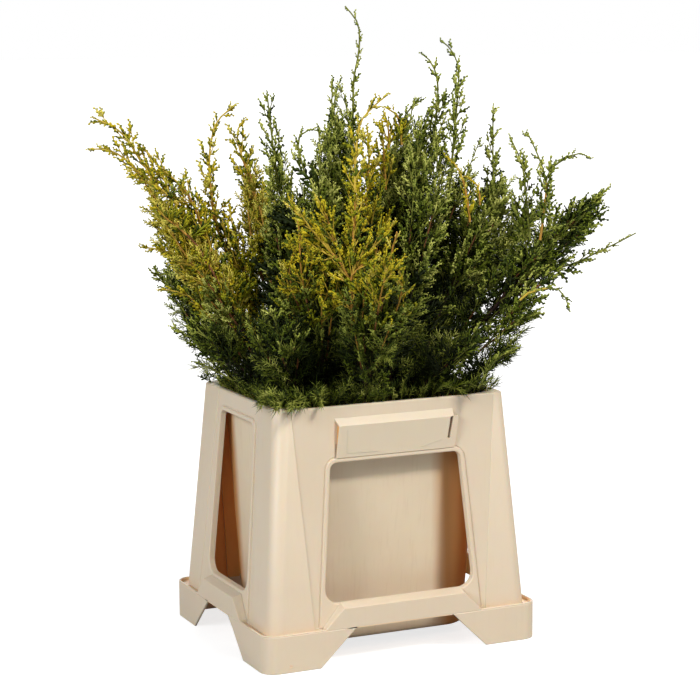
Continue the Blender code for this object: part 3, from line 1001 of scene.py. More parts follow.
@dataclass
class CardHolder:
    """A sleeve for a card over a long face's window, with a sloping top ledge and a slot at one end."""

    mould: Mould
    plastic: Material
    # The painted shade and warm light that colour the cheek at the sleeve's left end.
    inside: Material
    half_width: float = 0.086
    bottom: float = 0.2690
    top: float = 0.3212
    ledge_foot: float = 0.3115
    proud_top: float = 0.0066
    proud_foot: float = 0.0010
    thickness: float = 0.0015
    mitre: float = 0.0034
    slot_trim: tuple[float, float] = (0.0070, 0.0135)
    slot_width: float = 0.0044
    cheek_width: float = 0.0040
    stop_width: float = 0.0090
    stop_foot: float = 0.0130
    lip: float = 0.0005

    def build(self) -> None:
        """Build a holder on the front and on the back."""
        for turn in LONG_FACE.turns:
            mesh = bmesh.new()
            self.add_sleeve(mesh, turn)
            self.add_stop(mesh, turn)
            self.add_lips(mesh, turn)
            name = SIDE_NAMES[turn]
            sleeve = object_from("card_sleeve_" + name, mesh, self.plastic, 35.0)
            finish_piece(sleeve, ["card_holder_" + name])
            # The cheek carries painted shade and warm light.
            finish_piece(object_from("card_cheek_" + name, self.cheek(turn), self.inside))

    def add_sleeve(self, mesh: BMesh, turn: int) -> None:
        """Add the sleeve: a ledge, a front plate that leans in towards its foot, and a closed foot.

        Args:
            mesh: the bmesh to add to.
            turn: quarter turns from the front.
        """
        base, thin, bend, bottom = self.gap_depth, self.thickness, self.ledge_foot, self.bottom
        proud, low_proud = self.proud_top, self.proud_foot
        outer = [(base, self.top), (proud - 0.0006, bend + 0.0006), (proud, bend - 0.0004),
                 (low_proud, bottom), (base, bottom)]
        inner = [(base, self.top - thin * 1.6), (proud - thin - 0.0006, bend - thin * 0.6),
                 (proud - thin, bend - thin), (low_proud - thin, bottom + thin), (base, bottom + thin)]
        left_trims = (0.0, self.mitre, self.mitre, 0.0, 0.0)
        right_trims = (0.0, self.mitre * 0.7, self.slot_trim[0], self.slot_trim[1], self.slot_trim[1])
        loops = []
        for side, shape in ((-1, outer), (1, outer), (1, inner), (-1, inner)):
            trims = right_trims if side > 0 else left_trims
            loops.append([self.mould.on_face(LONG_FACE, turn, side * (self.half_width - trim), height, out)
                          for (out, height), trim in zip(shape, trims)])
        loft(mesh, loops, ring=True)

    def cheek(self, turn: int) -> BMesh:
        """Build the block that closes the sleeve's left end, a little behind its edge, coloured with painted
        shade and warm light.

        Args:
            turn: quarter turns from the front.

        Returns:
            The block.
        """
        rows = ((self.bottom + 0.0012, 0.0010), (self.ledge_foot - 0.0010, self.mitre + 0.0008),
                (self.top - 0.0026, 0.0016))
        back = self.gap_depth - 0.0004
        mesh = bmesh.new()
        loops = []
        for height, inset in rows:
            front = self.gap_depth + 0.0004 if height > self.ledge_foot else self.front_at(height) - 0.0006
            near = inset - self.half_width
            far = near + self.cheek_width
            corners = ((near, back), (near, front), (far, front), (far, back))
            loops.append([self.mould.on_face(LONG_FACE, turn, x, height, out) for x, out in corners])
        loft(mesh, loops)
        return mesh

    @property
    def gap_depth(self) -> float:
        """Where the holder meets the recessed field of the face."""
        return -self.mould.recess + self.mould.gap

    def add_stop(self, mesh: BMesh, turn: int) -> None:
        """Add the wall beyond the slot at the sleeve's right end, and the foot that the slot ends on.

        Args:
            mesh: the bmesh to add to.
            turn: quarter turns from the front.
        """
        low, high = self.bottom + self.stop_foot, self.ledge_foot - 0.0002
        top_edge = self.half_width - self.slot_trim[0]
        foot_edge = self.half_width - self.slot_trim[1]
        low_edge = foot_edge + (top_edge - foot_edge) * self.stop_foot / (self.ledge_foot - self.bottom)
        near, far = self.slot_width, self.slot_width + self.stop_width
        wall = [(low_edge + near, low), (low_edge + far, low),
                (top_edge + far - 0.002, high), (top_edge + near, high)]
        foot = [(foot_edge + 0.0001, self.bottom), (foot_edge + far, self.bottom),
                (low_edge + far, low), (low_edge + 0.0001, low)]
        for corners in (wall, foot):
            fronts = [self.front_at(height) - 0.0003 for _, height in corners]
            self.mould.add_block(mesh, LONG_FACE, turn, corners, [self.gap_depth] * 4, fronts)

    def front_at(self, height: float) -> float:
        """Return how far out the plate's front is at a height."""
        share = (self.ledge_foot - height) / (self.ledge_foot - self.bottom)
        return self.proud_top + (self.proud_foot - self.proud_top) * share

    def add_lips(self, mesh: BMesh, turn: int) -> None:
        """Add the faint raised lips low on the plate.

        Args:
            mesh: the bmesh to add to.
            turn: quarter turns from the front.
        """
        left, low = -0.071, self.bottom + 0.006
        runs = [[(left, self.ledge_foot - 0.006), (left, low)], [(left, low), (left + 0.044, low - 0.001)],
                [(0.036, low - 0.001), (0.066, low + 0.006)]]
        for (x0, z0), (x1, z1) in runs:
            along = Vector((x1 - x0, z1 - z0)).normalized() * 0.0006
            side = Vector((-along.y, along.x))
            corners = [(x0 - side.x, z0 - side.y), (x1 - side.x, z1 - side.y),
                       (x1 + side.x, z1 + side.y), (x0 + side.x, z0 + side.y)]
            plate = [self.front_at(height) for _, height in corners]
            backs, fronts = ([out + rise for out in plate] for rise in (-0.0003, self.lip))
            self.mould.add_block(mesh, LONG_FACE, turn, corners, backs, fronts)


def smooth_path(corners: list[Vector], steps: int) -> list[Vector]:
    """Return a smooth path through the corners.

    Args:
        corners: the points that it passes through.
        steps: segments between each two of them.

    Returns:
        The path.
    """
    padded = [corners[0] * 2 - corners[1], *corners, corners[-1] * 2 - corners[-2]]
    path = []
    for a, b, c, d in zip(padded, padded[1:], padded[2:], padded[3:]):
        for step in range(steps):
            t = step / steps
            bend, twist = a * 2 - b * 5 + c * 4 - d, b * 3 - a - c * 3 + d
            path.append((b * 2 + (c - a) * t + bend * t * t + twist * t ** 3) / 2)
    return path + [corners[-1]]


def triangle(mesh: BMesh, centre: Vector, along: Vector, width: float) -> list[BMVert]:
    """Add the three corners of a triangle that stands across a direction.

    Args:
        mesh: the bmesh to add to.
        centre: the triangle's middle.
        along: the direction.
        width: twice its radius.

    Returns:
        The corners.
    """
    across = along.orthogonal().normalized()
    other = along.cross(across).normalized()
    corners = []
    for i in range(3):
        angle = math.tau * i / 3
        outwards = across * math.cos(angle) + other * math.sin(angle)
        corners.append(mesh.verts.new(centre + outwards * width / 2))
    return corners


def spindle(mesh: BMesh, foot: Vector, tip: Vector, thickness: float, belly: float = 0.5) -> None:
    """Add a closed three-sided spindle, the shape of one leafy finger.

    Args:
        mesh: the bmesh to add to.
        foot: where it starts.
        tip: where it ends.
        thickness: its width at its belly.
        belly: where along it it is widest.
    """
    along = tip - foot
    ring = triangle(mesh, foot + along * belly, along, thickness)
    low, high = mesh.verts.new(foot), mesh.verts.new(tip)
    for i in range(3):
        j = (i + 1) % 3
        mesh.faces.new((ring[i], ring[j], high))
        mesh.faces.new((ring[j], ring[i], low))


def spike(mesh: BMesh, foot: Vector, tip: Vector, thickness: float) -> None:
    """Add a closed three-sided spike, the shape of one needle.

    Args:
        mesh: the bmesh to add to.
        foot: the middle of its foot.
        tip: its point.
        thickness: its width at its foot.
    """
    point = mesh.verts.new(tip)
    ring = triangle(mesh, foot, tip - foot, thickness)
    mesh.faces.new(ring)
    for i in range(3):
        mesh.faces.new((ring[i], point, ring[(i + 1) % 3]))


class SprigKind(Enum):
    """The shapes of sprig, in the order in which they are numbered."""

    STUB = 0
    FAN = 1
    BRUSH = 2


@dataclass
class SprigShapes:
    """The sprigs that are set by the thousand, each one long and of a few dozen faces."""

    seed: int = 7
    finger: float = 0.126
    brush_finger: float = 0.146
    stub_finger: float = 0.225
    needle: float = 0.056
    sunk: float = 0.05
    shaded_turns: tuple[int, int] = (1, 3)
    shaded_cycle: int = 5

    def scale_sprigs(self) -> list[Object]:
        """Make the scale-leaved sprigs: a thick stub, a flat fan and a rounder brush.

        Returns:
            The shapes, in the order of their kinds.
        """
        return [self.fingers("stub", 5, (0.46, 0.30), self.stub_finger, 0.4),
                self.fingers("fan", 7, (0.46, 0.24), self.finger, 0.05),
                self.fingers("brush", 6, (0.44, 0.26), self.brush_finger, 0.8)]

    def shade(self, mesh: BMesh, number: int, faces: int) -> None:
        """Mark a leaf's faces, the newest, as shaded, if its number falls on a shaded turn.

        Args:
            mesh: the sprig so far.
            number: the leaf's number.
            faces: how many faces it has.
        """
        if number % self.shaded_cycle in self.shaded_turns:
            mesh.faces.ensure_lookup_table()
            for face in mesh.faces[-faces:]:
                face[mesh.faces.layers.int["shaded"]] = 1

    @staticmethod
    def aim(tilt: float, spin: float) -> Vector:
        """Return the direction tilted from +Z towards a turn round it."""
        return Vector((math.sin(tilt) * math.cos(spin), math.sin(tilt) * math.sin(spin), math.cos(tilt)))

    def fingers(self, name: str, count: int, lengths: tuple[float, float], thickness: float,
                turn: float) -> Object:
        """Make a scale-leaved sprig, whose fingers point forwards by turns on its two sides.

        Args:
            name: the end of the shape's name.
            count: how many fingers it has beside its axis.
            lengths: the length of its first and of its last finger.
            thickness: the width of a finger.
            turn: how far each finger is turned round the axis from the plane of the one before.

        Returns:
            The shape, along +Z and flat in X where the turn is small.
        """
        chance = random.Random(self.seed + count + int(turn * 10))
        mesh = bmesh.new()
        mesh.faces.layers.int.new("shaded")
        spindle(mesh, Vector((0, 0, -self.sunk)), Vector((0, 0, 1.0)), thickness * 1.15, 0.5)
        first, last = lengths
        for i in range(count):
            share = i / (count - 1)
            foot = Vector((0, 0, self.sunk + 0.75 * share))
            tilt = chance.uniform(0.46, 0.66)
            spin = math.pi * (i % 2) + i * turn + chance.uniform(-0.2, 0.2)
            reach = self.aim(tilt, spin) * (first + (last - first) * share) * chance.uniform(0.85, 1.15)
            spindle(mesh, foot, foot + reach, thickness, 0.68)
            self.shade(mesh, i, 6)
        return object_from("shape_" + name, mesh, sharp_angle=180.0)

    def needle_sprigs(self) -> list[Object]:
        """Make the needle-leaved sprigs of young growth: thin, curved out and pointed.

        Returns:
            The shapes, in the order of their kinds.
        """
        chance = random.Random(self.seed + 1)
        shapes = []
        for name, count in (("tuft", 8), ("whorls", 12), ("spray", 12)):
            mesh = bmesh.new()
            mesh.faces.layers.int.new("shaded")
            spike(mesh, Vector((0, 0, -self.sunk)), Vector((0, 0, 0.95)), self.needle * 1.3)
            for i in range(count):
                share = i / count
                foot = Vector((0, 0, 0.03 + 0.74 * share))
                spin = GOLDEN_ANGLE * i + chance.uniform(-0.3, 0.3)
                tilt = chance.uniform(0.60, 1.00) * (1 - 0.40 * share)
                spike(mesh, foot, foot + self.aim(tilt, spin) * chance.uniform(0.40, 0.60), self.needle)
                self.shade(mesh, i, 4)
            shapes.append(object_from("shape_" + name, mesh, sharp_angle=180.0))
        return shapes


class GrowthTrees:
    """The Geometry Nodes trees that set sprigs on points and lay bark along paths."""

    strip_stretch = (1.0, 1.0, 0.15)

    def __init__(self) -> None:
        """Build both trees."""
        self.sprigs = self.build_sprigs()
        self.limbs = self.build_limbs()

    @staticmethod
    def named(wiring: Wiring, kind: str, name: str) -> NodeSocket:
        """Return the output of a named attribute of the given type."""
        reader = wiring.add("GeometryNodeInputNamedAttribute", {"Name": name}, data_type=kind)
        return reader.outputs["Attribute"]

    @staticmethod
    def dress(wiring: Wiring, shape: NodeSocket, material: NodeSocket) -> NodeSocket:
        """End a tree in Realize Instances and Set Material.

        Args:
            wiring: the tree's wiring.
            shape: what the tree has made.
            material: its material.

        Returns:
            The finished geometry.
        """
        real = wiring.add("GeometryNodeRealizeInstances", {"Geometry": shape})
        inputs = {"Geometry": real.outputs[0], "Material": material}
        return wiring.add("GeometryNodeSetMaterial", inputs).outputs[0]

    def build_sprigs(self) -> NodeTree:
        """Build the tree that sets one of three sprigs on each point, along its aim and flat to its side.

        Returns:
            The tree.
        """
        titles = ("First Sprig", "Second Sprig", "Third Sprig")
        wiring, given, made = Wiring.start(
            "sprigs_on_points", "GeometryNodeTree",
            {"Points": ("Geometry", None), **{title: ("Object", None) for title in titles},
             "Size": ("Float", 1.0), "Size Scatter": ("Float", 0.15), "Seed": ("Int", 3),
             "Material": ("Material", None), "Shaded Material": ("Material", None)},
            {"Sprigs": "Geometry"})
        asked = given.outputs
        shapes = wiring.add("GeometryNodeJoinGeometry")
        for title in reversed(titles):
            info = wiring.add("GeometryNodeObjectInfo", {"Object": asked[title]})
            single = wiring.add("GeometryNodeGeometryToInstance", {"Geometry": info.outputs["Geometry"]})
            wiring.feed(shapes, {"Geometry": single.outputs[0]})
        inputs = {"Vector": self.named(wiring, "FLOAT_VECTOR", "aim")}
        aim = wiring.add("FunctionNodeAlignRotationToVector", inputs, axis="Z")
        inputs = {"Rotation": aim.outputs[0], "Vector": self.named(wiring, "FLOAT_VECTOR", "side")}
        turned = wiring.add("FunctionNodeAlignRotationToVector", inputs, axis="X", pivot_axis="Z")
        inputs = {"Min_001": wiring.calculate("SUBTRACT", 1.0, asked["Size Scatter"]),
                  "Max_001": wiring.calculate("ADD", 1.0, asked["Size Scatter"]), "Seed": asked["Seed"]}
        scatter = wiring.add("FunctionNodeRandomValue", inputs, data_type="FLOAT")
        size = wiring.calculate("MULTIPLY", self.named(wiring, "FLOAT", "size"), scatter.outputs[1])
        placed = wiring.add("GeometryNodeInstanceOnPoints", {
            "Pick Instance": True, "Points": asked["Points"], "Instance": shapes.outputs[0],
            "Instance Index": self.named(wiring, "INT", "kind"), "Rotation": turned.outputs[0],
            "Scale": wiring.calculate("MULTIPLY", size, asked["Size"])})
        dressed = self.dress(wiring, placed.outputs["Instances"], asked["Material"])
        second = wiring.add("GeometryNodeSetMaterial", {
            "Geometry": dressed, "Selection": self.named(wiring, "INT", "shaded"),
            "Material": asked["Shaded Material"]})
        wiring.feed(made, {"Sprigs": second.outputs[0]})
        return wiring.tree

    def build_limbs(self) -> NodeTree:
        """Build the tree that lays a round, fissured skin along paths of varying girth.

        Returns:
            The tree.
        """
        wiring, given, made = Wiring.start(
            "bark_along_paths", "GeometryNodeTree",
            {"Paths": ("Geometry", None), "Sides": ("Int", 6), "Ring Gap": ("Float", 0.01),
             "Relief": ("Float", 0.0), "Relief Scale": ("Float", 300.0), "Material": ("Material", None)},
            {"Limbs": "Geometry"})
        asked = given.outputs
        lines = wiring.add("GeometryNodeMeshToCurve", {"Mesh": asked["Paths"]})
        inputs = {"Curve": lines.outputs[0], "Length": asked["Ring Gap"]}
        rings = wiring.add("GeometryNodeResampleCurve", inputs, mode="LENGTH")
        inputs = {"Radius": 1.0, "Resolution": asked["Sides"]}
        circle = wiring.add("GeometryNodeCurvePrimitiveCircle", inputs, mode="RADIUS")
        skin = wiring.add("GeometryNodeCurveToMesh", {
            "Fill Caps": True, "Curve": rings.outputs[0], "Profile Curve": circle.outputs[0],
            "Scale": self.named(wiring, "FLOAT", "girth")})
        place = wiring.add("GeometryNodeInputPosition").outputs[0]
        inputs = {"Vector": place, "Vector_001": self.strip_stretch}
        strips = wiring.add("ShaderNodeVectorMath", inputs, operation="MULTIPLY").outputs[0]
        inputs = {"Detail": 2.0, "Vector": strips, "Scale": asked["Relief Scale"]}
        pattern = wiring.add("ShaderNodeTexNoise", inputs).outputs["Fac"]
        depth = wiring.calculate("MULTIPLY", wiring.calculate("SUBTRACT", pattern, 0.5), asked["Relief"])
        inputs = {"Vector": wiring.add("GeometryNodeInputNormal").outputs[0], "Scale": depth}
        push = wiring.add("ShaderNodeVectorMath", inputs, operation="SCALE").outputs[0]
        moved = wiring.add("GeometryNodeSetPosition", {"Geometry": skin.outputs[0], "Offset": push})
        smooth = wiring.add("GeometryNodeSetShadeSmooth", {"Geometry": moved.outputs[0]})
        wiring.feed(made, {"Limbs": self.dress(wiring, smooth.outputs[0], asked["Material"])})
        return wiring.tree


def grow_mesh(name: str, source: Mesh, tree: NodeTree, values: dict[str, object]) -> Object:
    """Run a Geometry Nodes tree on a mesh and keep the result as a plain mesh.

    Args:
        name: the name of the piece.
        source: the points or paths that the tree works on.
        tree: the tree.
        values: the tree's inputs by name.

    Returns:
        The piece, without a modifier.
    """
    piece = place_object(name, source)
    modifier = piece.modifiers.new("growth", "NODES")
    modifier.node_group = tree
    for item in tree.interface.items_tree:
        if item.item_type == "SOCKET" and item.in_out == "INPUT" and item.name in values:
            modifier[item.identifier] = values[item.name]
    depsgraph = bpy.context.evaluated_depsgraph_get()
    depsgraph.update()
    grown = piece.evaluated_get(depsgraph)
    result = bpy.data.meshes.new_from_object(grown, preserve_all_data_layers=True, depsgraph=depsgraph)
    piece.modifiers.clear()
    piece.data = result
    result.name = name
    for attribute in ("aim", "side", "size", "kind", "girth", "shaded"):
        if attribute in result.attributes:
            result.attributes.remove(result.attributes[attribute])
    if not result.materials and "Material" in values:
        result.materials.append(values["Material"])
    return piece


@dataclass
class SprigBed:
    """The sprigs of one kind and colour, gathered before they are set."""

    name: str
    points: list[Vector] = field(default_factory=list)
    aims: list[Vector] = field(default_factory=list)
    sides: list[Vector] = field(default_factory=list)
    sizes: list[float] = field(default_factory=list)
    kinds: list[int] = field(default_factory=list)

    def plant(self, point: Vector, aim: Vector, side: Vector, size: float, kind: int) -> None:
        """Add one sprig.

        Args:
            point: its foot.
            aim: the direction of its axis.
            side: the direction that it is flat along.
            size: its length.
            kind: the number of its shape.
        """
        self.points.append(point)
        self.aims.append(aim)
        self.sides.append(side)
        self.sizes.append(size)
        self.kinds.append(kind)

    def mesh(self, first: int, last: int) -> Mesh:
        """Return the sprigs from first up to last as a mesh of points with their attributes.

        Args:
            first: the number of the first sprig.
            last: the number after the last one's.

        Returns:
            The points.
        """
        data = bpy.data.meshes.new(self.name + "_points")
        data.from_pydata([tuple(point) for point in self.points[first:last]], [], [])
        for title, vectors in (("aim", self.aims), ("side", self.sides)):
            numbers = [number for vector in vectors[first:last] for number in vector]
            data.attributes.new(title, "FLOAT_VECTOR", "POINT").data.foreach_set("vector", numbers)
        for title, kind, values in (("size", "FLOAT", self.sizes), ("kind", "INT", self.kinds)):
            data.attributes.new(title, kind, "POINT").data.foreach_set("value", values[first:last])
        return data


@dataclass
class PathBed:
    """Limbs or twigs of one bark, gathered as paths with a girth at each point."""

    name: str
    points: list[Vector] = field(default_factory=list)
    girths: list[float] = field(default_factory=list)
    edges: list[tuple[int, int]] = field(default_factory=list)

    def lay(self, path: list[Vector], girths: list[float]) -> None:
        """Add one path.

        Args:
            path: its points in order.
            girths: its radius at each of them.
        """
        start = len(self.points)
        self.points += path
        self.girths += girths
        self.edges += [(start + i, start + i + 1) for i in range(len(path) - 1)]

    def mesh(self) -> Mesh:
        """Return the paths as a mesh of edges with their girths.

        Returns:
            The edges.
        """
        data = bpy.data.meshes.new(self.name + "_paths")
        data.from_pydata([tuple(point) for point in self.points], self.edges, [])
        data.attributes.new("girth", "FLOAT", "POINT").data.foreach_set("value", self.girths)
        return data


@dataclass
class Plume:
    """The space of one mass of foliage, read from its solid: a middle line and how wide it is."""

    name: str
    slot: Slot
    centres: list[Vector]
    radii: list[float]

    @classmethod
    def from_node(cls, name: str, slot: Slot, slim: float) -> "Plume":
        """Read a mass's level slices from its node.

        Args:
            name: the node's name.
            slot: the node's slot in the record.
            slim: how wide the growth is within the mass.

        Returns:
            The plume, whose last level is its tip.
        """
        levels: dict[float, set] = {}
        for vertex in frame["nodes"][name].data.vertices:
            x, y, z = vertex.co
            levels.setdefault(round(z, 4), set()).add((round(x, 5), round(y, 5)))
        centres, radii = [], []
        for height in sorted(levels):
            ring = [Vector(point) for point in levels[height]]
            middle = sum(ring, Vector((0.0, 0.0))) / len(ring)
            centres.append(Vector((middle.x, middle.y, height)))
            radii.append(slim * sum((point - middle).length for point in ring) / len(ring))
        return cls(name, slot, centres, radii)

    def at(self, share: float) -> tuple[Vector, float]:
        """Return the middle line's point and the radius at a share of the way up.

        Args:
            share: from 0 at the foot to 1 at the tip.

        Returns:
            The point and the radius.
        """
        foot, tip = self.centres[0].z, self.centres[-1].z
        height = foot + (tip - foot) * min(max(share, 0.0), 1.0)
        for i in range(len(self.centres) - 1):
            low, high = self.centres[i], self.centres[i + 1]
            if height <= high.z or i == len(self.centres) - 2:
                part = (height - low.z) / (high.z - low.z)
                return low.lerp(high, part), self.radii[i] + (self.radii[i + 1] - self.radii[i]) * part
        return self.centres[-1], 0.0

    def depth_of(self, point: Vector) -> float:
        """Return how far out a point is, from 0 on the middle line to 1 at the skin and more beyond.

        Args:
            point: the point.

        Returns:
            How far out it is.
        """
        foot, tip = self.centres[0].z, self.centres[-1].z
        share = (point.z - foot) / (tip - foot)
        if share >= 1.0:
            return 2.0
        middle, radius = self.at(share)
        return math.hypot(point.x - middle.x, point.y - middle.y) / max(radius, 0.004)

    @property
    def width(self) -> float:
        """The plume's greatest mean radius."""
        return max(self.radii)


class Leaf(Enum):
    """How the leaves of a branch look: fine scales, the thick scaly cords of young shoots, or needles."""

    SCALES = "scales"
    BOLD = "bold"
    NEEDLES = "needles"


class Tone(Enum):
    """The colours of leaf, each of them a piece or two of its own, dealt out by painted light and shade."""

    GOLD = "gold"
    STRAW = "straw"
    OLIVE = "olive"
    PALE = "pale"
    LIME = "lime"
    GREEN = "green"
    DEEP = "deep"
    SHADE = "shade"


TONE_FINISHES = {
    Tone.GOLD: (LeafFinish("leaf_gold", (0.64, 0.50, 0.020), (0.48, 0.42, 0.022)), Slot.GOLD),
    Tone.STRAW: (LeafFinish("leaf_straw", (0.80, 0.68, 0.13), (0.68, 0.60, 0.09)), Slot.GOLD),
    Tone.OLIVE: (LeafFinish("leaf_olive", (0.36, 0.33, 0.012), (0.25, 0.27, 0.012)), Slot.GOLD),
    Tone.PALE: (LeafFinish("leaf_pale", (0.58, 0.59, 0.150), (0.44, 0.47, 0.100)), Slot.GREEN),
    Tone.LIME: (LeafFinish("leaf_lime", (0.38, 0.41, 0.070), (0.26, 0.31, 0.050)), Slot.GREEN),
    Tone.GREEN: (LeafFinish("leaf_green", (0.155, 0.190, 0.014), (0.105, 0.145, 0.012)), Slot.GREEN),
    Tone.DEEP: (LeafFinish("leaf_deep", (0.060, 0.086, 0.007), (0.040, 0.064, 0.007)), Slot.DARK),
    Tone.SHADE: (LeafFinish("leaf_shade", (0.014, 0.022, 0.003), (0.009, 0.015, 0.003)), Slot.DARK),
}

# The colour of the fingers on the shaded side of a sprig, by the sprig's own colour
SHADED_TONES = {
    Tone.GOLD: Tone.GREEN, Tone.STRAW: Tone.OLIVE, Tone.OLIVE: Tone.DEEP, Tone.PALE: Tone.GREEN,
    Tone.LIME: Tone.DEEP, Tone.GREEN: Tone.SHADE, Tone.DEEP: Tone.SHADE, Tone.SHADE: Tone.SHADE,
}

# The colours of each slot by how much light a place gets, each up to its limit
TONE_LADDERS = {
    Slot.GOLD: ((0.20, Tone.SHADE), (0.34, Tone.DEEP), (0.48, Tone.GREEN), (0.66, Tone.OLIVE),
                (0.98, Tone.GOLD), (9.0, Tone.STRAW)),
    Slot.GREEN: ((0.24, Tone.SHADE), (0.43, Tone.DEEP), (0.70, Tone.GREEN), (0.98, Tone.LIME),
                 (9.0, Tone.PALE)),
    Slot.DARK: ((0.28, Tone.SHADE), (0.53, Tone.DEEP), (0.78, Tone.GREEN), (1.00, Tone.LIME),
                (9.0, Tone.PALE)),
}


class Wood(Enum):
    """The barks: old limbs, ripening shoots, and the leafy skin of golden and of green twigs."""

    OLD = "old"
    RUSSET = "russet"
    AMBER = "amber"
    HONEY = "honey"
    FRESH = "fresh"


WOOD_FINISHES = {
    Wood.OLD: BarkFinish("bark_old", (0.075, 0.027, 0.015), (0.014, 0.006, 0.005)),
    Wood.RUSSET: BarkFinish("bark_russet", (0.30, 0.115, 0.028), (0.13, 0.046, 0.014)),
    Wood.AMBER: BarkFinish("bark_amber", (0.58, 0.29, 0.040), (0.42, 0.22, 0.030)),
    Wood.HONEY: BarkFinish("bark_honey", (0.66, 0.45, 0.050), (0.48, 0.36, 0.030)),
    Wood.FRESH: BarkFinish("bark_fresh", (0.26, 0.27, 0.030), (0.13, 0.16, 0.020)),
}


@dataclass(frozen=True)
class Shoot:
    """A single leader that stands out of the crown, by how it looks from the camera.

    Its points go from foot to tip, across and down in the 700 units of the frame's side. Its depths
    are how far its foot and its tip are behind the container's middle.
    """

    slot: Slot
    seen: tuple[tuple[float, float], ...]
    depths: tuple[float, float] = (0.0, 0.0)
    leaf: float = 0.020
    wood: Wood = Wood.FRESH


